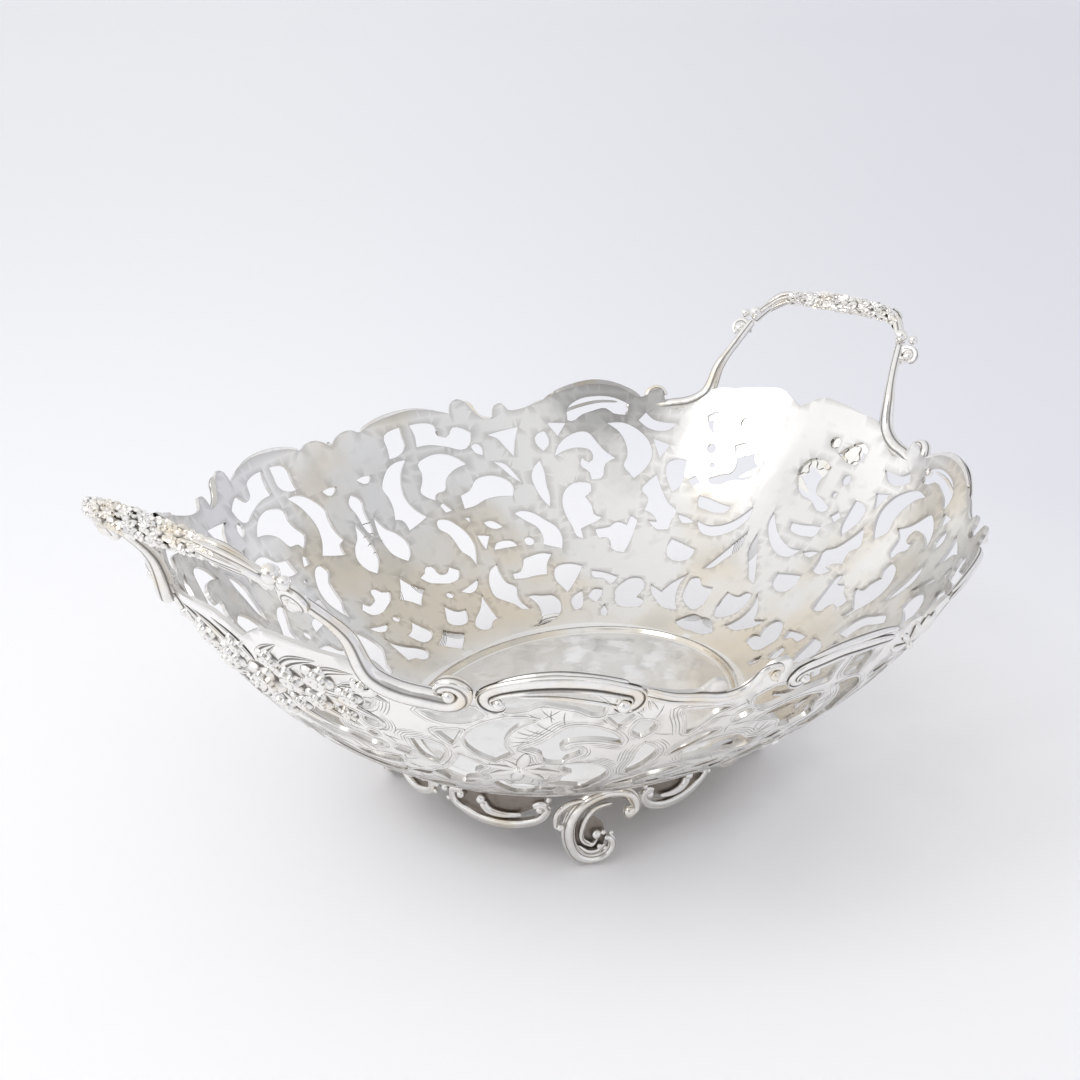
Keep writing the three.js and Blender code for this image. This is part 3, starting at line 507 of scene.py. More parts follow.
OPENINGS_AT_THE_END = [
    [(70.5, 37.5), (73, 37), (74.8, 36), (72, 35.5)],
    [(69.8, 29.5), (70.5, 31.3), (74, 30.3), (77.3, 29.3), (77, 27), (74, 25.3), (71, 26)],
    [(75.5, 36.5), (78, 35.8), (81, 36.3), (84, 38), (87.3, 42), (87.6, 40), (86, 36.8), (83, 34.3),
     (80, 33.3), (77, 34)],
    [(74.3, 42.3), (76.5, 42), (79.5, 41.3), (82, 41), (81.8, 39.8), (79.5, 39), (76.5, 39.3), (74.5, 40)],
    [(79, 53.5), (81.5, 54.5), (84.5, 53.8), (85.8, 52), (85.3, 49), (83, 47), (80.5, 46.5), (77.5, 45),
     (75.5, 45.5), (75.3, 46.3), (77.5, 47.3), (80, 48.3), (80.3, 50.5), (79.5, 52)],
    [(72.5, 58.5), (74.5, 59.5), (76.5, 58.5), (78.8, 56.3), (76.5, 55.3), (73.5, 55.8), (72.8, 57.3)],
    [(71, 45.5), (72.5, 46.5), (73.8, 45), (72, 44)],
    [(50.3, 21.3), (53.5, 20.8), (57.8, 19.3), (57, 17.5), (55.8, 16.5), (54, 18.3), (50.5, 19.3)],
    [(43.5, 10.5), (45, 13.5), (47.3, 14.8), (47.5, 12.5), (46.3, 8), (44.5, 7.5)],
    [(49, 12.3), (51, 15.3), (53.5, 15), (53.3, 12.5), (51.5, 10.3), (50.3, 11)],
    [(53.3, 7.5), (54.5, 9.3), (55.6, 7), (55.3, 4.5), (53.5, 4.8)],
    [(57.8, 12.5), (57.5, 14.5), (59.5, 17.5), (62.5, 19.3), (65.3, 18.8), (66.3, 15.5), (64.8, 12.8),
     (67.3, 11.5), (67, 9.5), (63.5, 8.5), (59.5, 8.8), (58, 10.5)],
    [(68.3, 17.3), (72, 15.5), (74, 18.5), (78.3, 22.4), (77.2, 20), (77, 15.5), (78.6, 11.5), (80, 9.8),
     (74.5, 9.8), (71.5, 12), (69.5, 14)],
    [(79.6, 21.2), (81.5, 21.8), (83.5, 19.8), (87.4, 19.8), (87.5, 13.5), (86, 11.4), (82, 12.4),
     (79.6, 15), (79, 18.5)],
    [(81.5, 24.5), (84, 28.5), (87, 33.5), (88.8, 36.5), (88.8, 32), (86.5, 28.5), (83.5, 25)],
]

# Round drill holes: middle and radius
DRILLED = [(35, 30.8, 1.2), (9.3, 20.9, 1.0), (74.5, 52.3, 1.0), (75.5, 49, 0.6), (80.3, 58, 1.1)]

# Openings that lie across a middle line are drawn to that line
ACROSS_THE_SIDE = [
    [(0, 49.5), (1.5, 48), (1, 45.5), (0.8, 42), (0, 40)],
    [(0, 30), (1.5, 27.5), (4, 24.8), (2, 23.2), (0, 21)],
    [(0, 12), (2, 10.3), (5.3, 8.3), (3, 5.8), (0, 3.5)],
]
ACROSS_THE_END = [[(90, 9.5), (87, 9.8), (84, 8), (81.5, 5.8), (83.5, 4), (87, 3.2), (90, 3.3)]]


def drilled(x, y, radius):
    corners = 16
    turns = [2 * math.pi * i / corners for i in range(corners)]
    return [Vector((x + radius * math.cos(turn), y + radius * math.sin(turn))) for turn in turns]


def half_opening(outline, middle):
    """One half of an opening that lies across a middle line."""
    whole = outline + [(2 * middle - x, y) for x, y in reversed(outline[1:-1])]
    return flowing(whole, OUTLINE_STEP, closed=True, spans=len(outline) - 1)


def quarter_outline():
    """The edge of one quarter of the drawing, with the notches of the openings that lie across it."""
    side = [point for outline in ACROSS_THE_SIDE for point in half_opening(outline, 0)]
    end = [point for outline in ACROSS_THE_END for point in reversed(half_opening(outline, 90))]
    rim = flowing(RIM_LINE, OUTLINE_STEP)
    return [*side, Vector((0, 0)), Vector((90, 0)), *end, *reversed(rim)]


def draw_loop(shape, line):
    corners = [shape.verts.new((point.x, point.y, 0)) for point in line]
    for a, b in zip(corners, corners[1:] + corners[:1]):
        shape.edges.new((a, b))


def pierced_quarter(shape):
    """One quarter of the sheet: the flat drawing is filled, cut into small fields and bent up."""
    draw_loop(shape, quarter_outline())
    for outline in sawn_outlines():
        draw_loop(shape, outline)
    bmesh.ops.triangle_fill(shape, use_beauty=True, edges=shape.edges)
    for axis, width, step in (((1, 0, 0), 90, PLAN_COLUMN), ((0, 1, 0), PLAN_TOP, PLAN_ROW)):
        for i in range(1, math.ceil(width / step)):
            parts = [*shape.verts, *shape.edges, *shape.faces]
            bmesh.ops.bisect_plane(shape, geom=parts, dist=0.01, plane_co=Vector(axis) * i * step,
                                   plane_no=axis)
    for corner in shape.verts:
        corner.co = wall_face(corner.co.x, corner.co.y)


def floor_rings(shape):
    """Carries the bottom edge of the wall inwards, over the ridge and the step, and across the floor."""
    near = 0.02
    ring = [edge for edge in shape.edges
            if edge.is_boundary and all(abs(corner.co.z - FLOOR_HEIGHT) < near for corner in edge.verts)]
    profile = [(0.8, 0), (1.3, 0.3), (1.8, 0.3), (2.2, -0.1), (2.5, -0.8), (3, -1.25), (3.8, -FLOOR_SINK),
               (12, -FLOOR_SINK), (24, -FLOOR_SINK), (38, -FLOOR_SINK)]
    before = 0
    for inset, lift in profile:
        made = bmesh.ops.extrude_edge_only(shape, edges=ring)["geom"]
        ring = [part for part in made if isinstance(part, bmesh.types.BMEdge)]
        for corner in {corner for edge in ring for corner in edge.verts}:
            angle = math.atan2(corner.co.x / (FLOOR_HALF_LENGTH - before),
                               corner.co.y / (FLOOR_HALF_WIDTH - before))
            corner.co = Vector((
                (FLOOR_HALF_LENGTH - inset) * math.sin(angle),
                (FLOOR_HALF_WIDTH - inset) * math.cos(angle),
                FLOOR_HEIGHT + lift,
            ))
        before = inset
    made = bmesh.ops.extrude_edge_only(shape, edges=ring)["geom"]
    last = [part for part in made if isinstance(part, bmesh.types.BMVert)]
    bmesh.ops.pointmerge(shape, verts=last, merge_co=(0, 0, FLOOR_HEIGHT - FLOOR_SINK))


def basket_sheet(silver):
    """The raised and pierced sheet: four mirrored quarters and the floor, given the metal's thickness."""
    shape = new_shape()
    pierced_quarter(shape)
    for axis in "XY":
        bmesh.ops.mirror(shape, geom=[*shape.verts, *shape.edges, *shape.faces], merge_dist=0.01, axis=axis)
    bmesh.ops.remove_doubles(shape, verts=shape.verts, dist=0.01)
    floor_rings(shape)
    recess = shape.verts.layers.float["recess"]
    for corner in shape.verts:
        if corner.is_boundary:
            corner[recess] = SAWN_EDGE_SHADE
    obj = piece(shape, "pierced_sheet", silver, ["bowl"])
    wall = obj.modifiers.new("metal thickness", "SOLIDIFY")
    wall.thickness = SHEET * MM
    wall.offset = 1
    edge = obj.modifiers.new("softened edges", "BEVEL")
    edge.width = SOFTENED_EDGE * MM
    edge.segments = 1
    edge.limit_method = "ANGLE"
    edge.angle_limit = math.radians(55)
    edge.harden_normals = True


# The chasing on the outside of the sheet

class Metal:
    """Tells how far a place of the drawing is from the nearest sawn edge: less than 0 in an opening."""

    def __init__(self):
        self.edges = [(point, away) for line in sawn_outlines() for point, _, away in edge_of(line)]
        rim = flowing(RIM_LINE, OUTLINE_STEP)
        for before, point, after in zip(rim[:1] + rim, rim, rim[1:] + rim[-1:]):
            along = (after - before).normalized()
            self.edges.append((point, Vector((along.y, -along.x))))
        self.tree = KDTree(len(self.edges))
        for i, (point, _) in enumerate(self.edges):
            self.tree.insert((point.x, point.y, 0), i)
        self.tree.balance()

    def room(self, place):
        _, i, distance = self.tree.find((place.x, place.y, 0))
        point, away = self.edges[i]
        return math.copysign(distance, (place - point).dot(away))


def sawn_outlines():
    drawings = [*OPENINGS_BY_THE_SHELL, *OPENINGS_LOW_ON_THE_SIDE, *OPENINGS_ROUND_THE_FLOWER,
                *OPENINGS_AT_THE_END]
    return [*(flowing(outline, OUTLINE_STEP, closed=True) for outline in drawings),
            *(drilled(x, y, radius) for x, y, radius in DRILLED)]


def edge_of(line):
    """The points of a sawn outline, each with the way along its edge and the way into the metal."""
    turning = math.copysign(1, sum(a.x * b.y - b.x * a.y for a, b in zip(line, line[1:] + line[:1])))
    edge = []
    for before, point, after in zip(line[-1:] + line, line, line[1:] + line[:1]):
        along = (after - before).normalized()
        edge.append((point, along, Vector((along.y, -along.x)) * turning))
    return edge


def scored_line(shape, points, width, along):
    def half_width(u):
        return width * math.sin(math.pi * (0.1 + 0.8 * u))
    # an engraved line: a low strip painted dark all over as the shade in its groove
    moulding(shape, points, half_width, along, 6, half_round(0.4), SHEET - 0.02, painted_shade=True)


def leaning_strokes(shape, metal, edge):
    """Short strokes that lean away from the edge of an opening, where there is room."""
    longest = 2.6
    shortest = 0.9
    inset = 0.8
    clear = 0.4
    for point, along, away in edge[::2]:
        length = min(longest, metal.room(point + away * 1.6) + shortest)
        stroke = [point + away * inset,
                  point + away * (inset + length * 0.5) + along * 0.25,
                  point + away * (inset + length) + along * 0.8]
        if length > shortest and min(metal.room(spot) for spot in stroke) > clear:
            scored_line(shape, stroke, 0.2, 5)


def followed_edge(shape, metal, edge, gap):
    """A fine line that runs beside the edge of an opening, and stops where another opening is nearer."""
    slack = 0.12
    fewest = 4
    runs = [[]]
    for point, _, away in [*edge, edge[0]]:
        place = point + away * gap
        if metal.room(place) > gap - slack and CHASED_FROM < place.y < CHASED_TO:
            runs[-1].append(place)
        else:
            runs.append([])
    for run in runs:
        if len(run) >= fewest:
            scored_line(shape, run, 0.15, len(run))


def chased_edges(shape, metal):
    """A bead round every opening, then short strokes at every third and fine lines round the others."""
    bead_in = 0.42
    first_line_in = 0.95
    line_gap = 0.42
    lines = 9
    for number, line in enumerate(sawn_outlines()):
        edge = edge_of(line)
        bead = [point + away * bead_in for point, _, away in [*edge, edge[0]]]
        moulding(shape, bead, lambda u: 0.24, len(line), 6, half_round(0.7))
        if number % 3 == 1:
            leaning_strokes(shape, metal, edge)
        else:
            for step in range(lines):
                followed_edge(shape, metal, edge, first_line_in + line_gap * step)


def chasing(shape):
    """What the chaser adds to one quarter: the beads and lines along the edges, and two flat flowers."""
    metal = Metal()
    chased_edges(shape, metal)
    chased_flower(shape, metal, 56.2, 42.3, 5.6)
    chased_flower(shape, metal, 12.4, 33.6, 3.6)


def chased_flower(shape, metal, x, y, size):
    """A flat flower: long petals round a beaded eye, as far out as the metal reaches."""
    petals = 8
    eye = Vector((x, y))
    for i in range(petals):
        way = Vector(on_circle(1, (i + 0.3) / petals))
        reach = size
        while reach > size * 0.3 and metal.room(eye + way * reach) < 0.5:
            reach -= 0.2
        widest = reach * 0.34

        def half_width(u, widest=widest):
            return widest * math.sin(math.pi * (0.1 + 0.85 * u)) ** 0.7
        petal = [eye + way * size * 0.12, eye + way * reach]
        vein = [eye + way * reach * 0.45, eye + way * reach * 0.85]
        moulding(shape, petal, half_width, 18, 18, half_round(0.3))
        scored_line(shape, vein, 0.16, 4)
    beads = 6
    for i in range(beads):
        spot = eye + Vector(on_circle(size * 0.11, i / beads))
        ball(shape, wall_spot(spot.x, spot.y, SHEET + 0.4), size * 0.13)


# Silver

class Wire:
    """The output of a shader node, on which sums are written as plain arithmetic."""

    def __init__(self, recipe, socket):
        self.recipe = recipe
        self.socket = socket

    def sum(self, operation, first, second):
        return self.recipe.node("ShaderNodeMath", {"operation": operation}, [first, second])

    def __add__(self, other):
        return self.sum("ADD", self, other)

    def __mul__(self, other):
        return self.sum("MULTIPLY", self, other)

    def __rsub__(self, other):
        return self.sum("SUBTRACT", other, self)

    def __pow__(self, other):
        return self.sum("POWER", self, other)

    __radd__ = __add__
    __rmul__ = __mul__

    def between(self, low, high):
        """0 below one value, 1 above the other."""
        return self.recipe.node("ShaderNodeMapRange", {"interpolation_type": "SMOOTHSTEP"},
                                {"Value": self, "From Min": low, "From Max": high})


class Recipe:
    """A material or a world that is written node by node."""

    def __init__(self, holder, shader="Principled BSDF"):
        self.holder = holder
        self.holder.use_nodes = True
        self.tree = self.holder.node_tree
        self.shader = self.tree.nodes[shader]

    def node(self, kind, settings=None, inputs=(), output=0):
        made = self.tree.nodes.new(kind)
        for name, value in (settings or {}).items():
            setattr(made, name, value)
        pairs = inputs.items() if isinstance(inputs, dict) else enumerate(inputs)
        for name, value in pairs:
            self.feed(made.inputs[name], value)
        return Wire(self, made.outputs[output])

    def feed(self, socket, value):
        if isinstance(value, Wire):
            self.tree.links.new(value.socket, socket)
        else:
            socket.default_value = value

    def place(self):
        return self.node("ShaderNodeTexCoord", output="Object")

    def grain(self, scale, detail):
        """Even noise about 0.5, of so many lumps to the metre."""
        inputs = {"Vector": self.place(), "Scale": scale, "Detail": detail, "Roughness": 0.55}
        return self.node("ShaderNodeTexNoise", {}, inputs, "Fac")

    def recess(self):
        """How deep in a hollow a point of a casting or a chased line lies, which the silver paints as shade.
        """
        return self.node("ShaderNodeAttribute", {"attribute_name": "recess"}, output="Fac")

    def along(self, vector, way):
        """How far a vector reaches along another."""
        return self.node("ShaderNodeVectorMath", {"operation": "DOT_PRODUCT"}, [vector, way], "Value")

    def bumps(self, height, metres):
        return self.node("ShaderNodeBump", {}, {"Strength": 1.0, "Distance": metres, "Height": height})

    def blend(self, share, low, high):
        return self.node("ShaderNodeMix", {"data_type": "RGBA"}, {0: share, 6: low, 7: high}, 2)

    def finish(self, **sockets):
        for name, value in sockets.items():
            self.feed(self.shader.inputs[name.replace("_", " ")], value)
        return self.holder


def sheet_silver():
    """Worn polished sheet painted lighter outside than inside; tan patches, most inside and low, grey
    tarnish, a smoother floor.
    """
    outside_painted_lighter = (0.985, 0.97, 0.945, 1)
    inside_painted_darker = (0.84, 0.83, 0.81, 1)
    warm_tan = (0.79, 0.71, 0.58, 1)
    grey_tarnish = (0.58, 0.58, 0.565, 1)
    brown_speck = (0.5, 0.47, 0.43, 1)
    painted_line_shade = (0.22, 0.2, 0.18, 1)
    floor = FLOOR_HEIGHT * MM
    recipe = Recipe(bpy.data.materials.new("sheet_silver"))
    height = recipe.node("ShaderNodeSeparateXYZ", {}, [recipe.place()], "Z")
    low = 1 - height.between(floor + 0.0015, floor + 0.0255)
    on_wall = height.between(floor - 0.0007, floor + 0.0017)
    outwards = recipe.along(recipe.node("ShaderNodeNewGeometry", output="Normal"), recipe.place())
    inside = 1 - outwards.between(-0.004, 0.004)
    warm = (recipe.grain(17, 3) + low * 0.12).between(0.5, 0.74) * (0.25 + inside * 0.75)
    cloud = recipe.grain(33, 5).between(0.5, 0.72) * (0.3 + inside * 0.7)
    speck = recipe.grain(160, 5).between(0.55, 0.7)
    # painted light and shade: one silver, painted lighter outside and darker inside for the light each side
    # takes
    color = recipe.blend(inside, outside_painted_lighter, inside_painted_darker)
    color = recipe.blend(warm, color, warm_tan)
    color = recipe.blend(cloud * 0.45, color, grey_tarnish)
    color = recipe.blend(speck * 0.14, color, brown_speck)
    # painted shade in the chased lines, in the hollows of the mouldings on the sheet and along its sawn
    # edges
    color = recipe.blend(recipe.recess() * 0.8, color, painted_line_shade)
    roughness = 0.1 + on_wall * (0.03 + recipe.grain(60, 4) * 0.12) + cloud * 0.06
    dents = recipe.grain(26, 2) + recipe.grain(95, 2) * 0.16 + recipe.grain(420, 3) * 0.012
    bump = recipe.bumps(dents, 0.0007)
    return recipe.finish(Metallic=1.0, Base_Color=color, Roughness=roughness, Normal=bump)


def cast_silver(name, bright, shade_and_speck):
    """Cast silver, bright with warm patches and specks, and with painted shade in its recesses."""
    clean = (bright, bright * 0.98, bright * 0.945, 1)
    yellowed = (bright * 0.95, bright * 0.88, bright * 0.76, 1)
    recipe = Recipe(bpy.data.materials.new(name))
    spots = recipe.grain(500, 4).between(0.5, 0.72)
    warm = recipe.grain(60, 3).between(0.5, 0.7)
    # painted shade in the recesses of the casting, from the recess attribute; the specks share its colour
    painted_shade = recipe.recess().between(0.1, 0.85) * 0.9
    color = recipe.blend(painted_shade + spots * 0.08, recipe.blend(warm, clean, yellowed), shade_and_speck)
    roughness = 0.1 + recipe.grain(300, 4) * 0.1 + painted_shade * 0.4
    waves = recipe.grain(130, 2) + recipe.grain(900, 3) * 0.05
    bump = recipe.bumps(waves, 0.00035)
    return recipe.finish(Metallic=1.0, Base_Color=color, Roughness=roughness, Normal=bump)


# Castings on the rim

def great_arch(shape):
    """The large arched scroll beside each handle leg: a curled band, a roll over it and a bead under it."""
    path = [*curl(43.7, 59.1, 1.1, 2.0, -30, -235), (46.5, 62.3), (51, 62.9), (55, 62.4),
            *curl(57.4, 59.4, 1.9, 1.1, 70, -200)]
    moulding(shape, path, swelling(3.1, 0.5, 0.05), 110, 36, bordered)
    roll = [(43.2, 62), (46.6, 63.1), (51, 63.8), (55, 63.2), (57.6, 62.2)]
    moulding(shape, roll, swelling(1.5, 0.6), 50, 14, half_round(1.1), SHEET * 0.4)
    for x, y, radius in ((43.8, 59, 1.9), (57.3, 59.6, 1.6)):
        ball(shape, wall_spot(x, y, SHEET + radius * 0.6), radius)
    under = [(41, 55.4), (42.6, 57.2), (45, 58.5), (48.4, 59.7), (52, 60.4), (55.2, 60.3)]
    moulding(shape, under, swelling(0.7, 0.6), 50, 10)


def link_scroll(shape):
    """The scroll that dips between the two arches: two close beads that end in a curl and a ball."""
    for lift, wide in ((0, 1.5), (-1.25, 0.75)):
        path = [(41.4, 61 + lift), (38.6, 59.4 + lift), (35, 58.5 + lift), (31.6, 57.8 + lift),
                (29.4, 58.6 + lift), *curl(26.6, 60.2, 1.7 + lift * 0.3, 1.0, 0, 200)]
        moulding(shape, path, swelling(wide, 0.6), 70, 14)
    ball(shape, wall_spot(26.5, 60.3, SHEET + 0.9), 1.5)
    for lean in (-1, 0, 1):
        moulding(shape, [(40.9 + 0.2 * lean, 58.9), (40.4 + 0.9 * lean, 56.8)], swelling(0.35, 0.3), 8, 6)


def small_arch(shape):
    """The low arched scroll beside the middle shell, curled in at one end, with a roll along its top."""
    path = [(7, 58.9), (10, 59.7), (13.4, 60.3), (17, 60.6), (20.4, 60), *curl(21.6, 57.9, 1.8, 1, 80, -220)]
    moulding(shape, path, swelling(2.3, 0.5), 90, 36, bordered)
    roll = [(6.6, 60.1), (10, 61.1), (14, 61.6), (18, 61.5), (22, 60.5)]
    moulding(shape, roll, swelling(1.2, 0.6), 50, 12, half_round(1.1), SHEET * 0.4)
    ball(shape, wall_spot(21.7, 58.1, SHEET + 0.8), 1.4)


def middle_shell(shape):
    """Seven lobes fanned from one bead."""
    lobes = 7
    between = 26
    reach = 5.2

    def half_width(u):
        return (0.4 + 1.1 * u) * rounded(u, 0.25)
    for i in range(lobes):
        turn = math.radians(between * (i - (lobes - 1) / 2))
        tip = (reach * math.sin(turn), 54.6 + reach * math.cos(turn))
        moulding(shape, [(0.3 * math.sin(turn), 54.4), tip], half_width, 14, 14)
    ball(shape, wall_spot(0, 54.2, SHEET + 0.7), 1.3)


def wall_flower(shape, x, y, size, turned):
    """A blossom on the outside of the wall, over a disc of painted shade; its size is in steps of the plan.
    """
    def spot_on(dx, dy, up):
        return wall_spot(x + dx, y + dy, SHEET + up)
    painted_shade_disc(shape, x, y, size * 1.25)
    blossom(shape, spot_on, size, 0.85 * size, turned)


def leaf_width(wide):
    return lambda u: wide * math.sin(math.pi * (0.04 + 0.94 * u ** 0.8)) * rounded(u, 0.1)


def end_spray(shape):
    """A dense, low cluster of blossoms and ribbed leaves under each handle, over discs of painted shade."""
    leaves = [((0.5, 58), (2.5, 61), (6, 63.4), 1.9), ((3.5, 58), (7, 61), (11.5, 62.4), 1.9),
              ((9, 59), (12.5, 61), (16, 61.4), 1.6), ((5, 54), (9, 52.6), (13, 50), 1.8),
              ((1, 53), (4, 50), (8.5, 47.6), 1.9), ((11, 56), (14.5, 54.6), (17.5, 52.2), 1.7),
              ((13, 58.5), (16.5, 58.6), (19.5, 57), 1.6), ((8, 56.5), (12, 57), (15.5, 55), 1.4)]
    for side in (-1, 1):
        for *path, wide in leaves:
            leaf = [(90 + side * x, y) for x, y in path]
            moulding(shape, leaf, leaf_width(wide), 26, 36, leaf_section)
        scroll = [(90 + side * x, y) for x, y in [(19.4, 62), *curl(16.6, 60, 1.9, 0.9, 40, -260)]]
        moulding(shape, scroll, swelling(1.5, 0.6), 50, 16, half_round(0.9))
        ball(shape, wall_spot(90 + side * 16.5, 59.8, SHEET + 0.8), 1.3)
    wall_flower(shape, 90, 55.2, 2.7, 0.3)
    wall_flower(shape, 90, 50.2, 2, 0.9)
    flower_pairs = [(5.4, 57.4, 2.1, 0.8, 0.1), (10.4, 59.2, 2.1, 0.4, 0.9), (3, 60, 1.7, 0.5, 1.1),
                    (8.6, 54.6, 1.9, 0.2, 0.7), (14, 57, 1.7, 0.6, 0.3), (4.4, 52.4, 1.6, 0.2, 0.5),
                    (12.4, 53, 1.3, 0.9, 0.4)]
    for x, y, size, *turns in flower_pairs:
        for side, turned in zip((-1, 1), turns):
            wall_flower(shape, 90 + side * x, y, size, turned)


def painted_shade_disc(shape, x, y, size):
    """A thin disc under a flower, painted dark as shade on top and bright on the side that the openings
    show.
    """
    def spot(u, w):
        reach = size * min(u, 1 - u) * 2
        dx, dy = on_circle(reach, w)
        height = 0.25 * (1 - (reach / size) ** 4) if u < 0.5 else -0.1
        return wall_spot(x + dx, y + dy, SHEET + height)
    # painted shade on the top side only
    wrapped(shape, spot, 12, 24, lambda u, w: 1 if u < 0.5 else 0)


# Handles

def collar_point():
    return Vector((RIM_HALF_LENGTH + COLLAR_OUT, COLLAR_SPREAD, RIM_HEIGHT + COLLAR_UP))


def handle_leg(shape):
    """The scroll that runs along the rim and rises as one leg of a handle, with its volute."""
    collar = collar_point()
    out = SHEET + LEG_RADIUS * 0.55
    on_rim = [*curl(62.4, 61.6, 1.15, 1.7, 0, 250), (65.6, 60.2), (68.4, 60.8), (71, 62.4)]
    course = [wall_spot(x, y, out) for x, y in on_rim]
    root = course[-1]
    course.append(root.lerp(collar, 0.4) + Vector((-3, 0, 1)))
    course.append(root.lerp(collar, 0.75) + Vector((-2.4, 0, 0)))
    course.append(collar)

    def leg_thick(u):
        return LEG_RADIUS * (0.68 + 0.5 * math.sin(math.pi * min(u * 1.3, 1))) * rounded(u, 0.02)
    rod(shape, course, leg_thick, 120, 20, 5, 0.05)
    ball(shape, wall_spot(62.4, 61.6, out + 1.6), 1.7)
    slope = Vector((COLLAR_OUT, 0, COLLAR_UP)).normalized()

    def volute(turn, reach):
        return (collar + slope * (VOLUTE_RADIUS * (reach * math.sin(turn) - 1))
                + Vector((0, VOLUTE_RADIUS * (1.15 + math.cos(turn) * reach), 0)))

    def volute_thick(u):
        return LEG_RADIUS * (0.7 - 0.2 * u) * rounded(u, 0.05)
    winding = [volute(math.pi * (1.1 - 0.25 * i), 1 - 0.09 * i) for i in range(7)]
    rod(shape, winding, volute_thick, 44, 16, 4, 0.1)
    ball(shape, volute(0, 0), 2.3)
    ball(shape, volute(math.pi * 1.2, 0.7), 1.9)
    ball(shape, collar + slope * 2.6 + Vector((0.4, 4.6, 0)), 1.9)


def handle_grip(shape):
    """The bent bar between the two collars, its blossoms, and a ball on each collar."""
    collar = collar_point()
    shoulder = Vector((RIM_HALF_LENGTH + GRIP_OUT - 3, SHOULDER_SPREAD, RIM_HEIGHT + GRIP_UP - 2))
    crown = Vector((RIM_HALF_LENGTH + GRIP_OUT, SHOULDER_SPREAD / 2, RIM_HEIGHT + GRIP_UP))
    middle = Vector((RIM_HALF_LENGTH + GRIP_OUT + 0.5, 0, RIM_HEIGHT + GRIP_UP + 0.4))
    half = [collar, shoulder, crown]
    bar = [*half, middle, *(Vector((p.x, -p.y, p.z)) for p in reversed(half))]
    rod(shape, bar, lambda u: GRIP_RADIUS * rounded(u, 0.015), 100, 16, 4, 0.06)
    for side in (-1, 1):
        ball(shape, Vector((collar.x + 1.5, side * (COLLAR_SPREAD - 0.5), collar.z + 3.2)), 2.7)
    flower_cluster(shape, Course(bar, 1.0))


def flower_cluster(shape, bar):
    """Small blossoms crowded all round the grip, and long leaves where the crowd thins out."""
    def round_bar(along, turn):
        """Directions at a share of the bar: outwards at a turn round it, sideways and along."""
        axis = (bar.at(along + 0.02) - bar.at(along - 0.02)).normalized()
        level = Vector((0, 0, 1)).cross(axis).normalized()
        upright = axis.cross(level)
        return (level * math.cos(turn) + upright * math.sin(turn),
                upright * math.cos(turn) - level * math.sin(turn), axis)

    count = 46
    golden_turn = math.radians(137.5)
    begins, ends = 0.22, 0.86
    least_fullness = 0.5
    for i in range(count):
        share = (i + 0.5) / count
        along = begins + (ends - begins) * share
        fullness = least_fullness + (1 - least_fullness) * math.sin(math.pi * share) ** 0.6
        out, sideways, axis = round_bar(along, i * golden_turn)
        size = (2.9 + 0.5 * math.sin(i * 2.3)) * (0.5 + 0.5 * fullness)
        reach = fullness * (1.9 if out.z > 0.25 else 2.7)
        centre = bar.at(along) + out * reach - Vector((0.3, 0, 0.5))

        def spot_on(dx, dy, up, centre=centre, out=out, sideways=sideways, axis=axis):
            return centre + sideways * dx * 0.8 + axis * dy * 1.3 + out * up
        blossom(shape, spot_on, size, size * 0.45, i)
    leaves = 6
    for i in range(leaves):
        turn = math.pi * (2 * i / leaves + 0.1)
        tip = 0.06 + 0.03 * (i % 2)
        course = ((begins + 0.06, 1.6), (begins - 0.03, 2.1), (tip + 0.05, 1.8), (tip, 1.4))
        path = [bar.at(along) + round_bar(along, turn + 2 * along)[0] * reach for along, reach in course]
        rod(shape, path, swelling(0.9, 0.4), 24, 12, 3, 0.12)


# Feet and aprons

def foot(shape):
    """One upright C scroll with a curled head and toe, with strands and balls over a web painted dark as
    shade.
    """
    facing = Vector((FOOT_STAND_X / FLOOR_HALF_LENGTH ** 2, FOOT_STAND_Y / FLOOR_HALF_WIDTH ** 2, 0))
    facing.normalize()
    along = Vector((-facing.y, facing.x, 0))
    tall = FLOOR_HEIGHT + 3

    def spot(reach, share, out=0):
        """A point beside the stand of the foot, at a share of its height."""
        return Vector((FOOT_STAND_X, FOOT_STAND_Y, share * tall)) + along * reach + facing * out

    scroll = [(10.4, 0.68), (12.6, 0.6), (14.6, 0.68), (13.4, 0.84), (8, 0.93), (2, 0.91), (-4, 0.78),
              (-7, 0.58), (-6.8, 0.34), (-3.8, 0.15), (0.8, 0.09), (5.4, 0.14), (7, 0.28), (4.6, 0.38)]
    rod(shape, [spot(*place) for place in scroll], swelling(2.2, 0.6, 0.03), 110, 24, 4, 0.1)
    strands = [
        ([(7, 0.8), (1.4, 0.76), (-2.6, 0.56), (-2.8, 0.36), (0.4, 0.28), (2.2, 0.36)], 1),
        ([(-4.2, 0.3), (-1.2, 0.2), (2.2, 0.2), (4.4, 0.28)], 1.1),
        ([(-1.5, 0.88), (-7, 0.86), (-11.2, 0.74), (-11.6, 0.58), (-9.8, 0.56)], 1.1),
    ]
    for places, wide in strands:
        rod(shape, [spot(*place, 0.7) for place in places], swelling(wide, 0.5), 40, 12, 3, 0.1)
    balls = [(12.3, 0.66, 2.1), (1.6, 0.42, 1.6), (-10.2, 0.58, 1.3), (3.8, 0.44, 0.9), (5, 0.36, 0.9),
             (2.6, 0.26, 0.9), (0, 0.3, 0.7), (4.6, 0.22, 0.8), (6.4, 0.42, 0.8)]
    for reach, share, radius in balls:
        ball(shape, spot(reach, share, 1 if radius < 1.5 else 0.6), radius)

    def web(u, w):
        across, up = on_circle(math.sin(math.pi * u), w)
        return spot(5.4 * across - 0.4, 0.28 * up + 0.36, 0.4 * math.cos(math.pi * u) - 0.9)
    # the web is painted dark all over as the shade inside the scroll
    wrapped(shape, web, 10, 24, lambda u, w: 1)


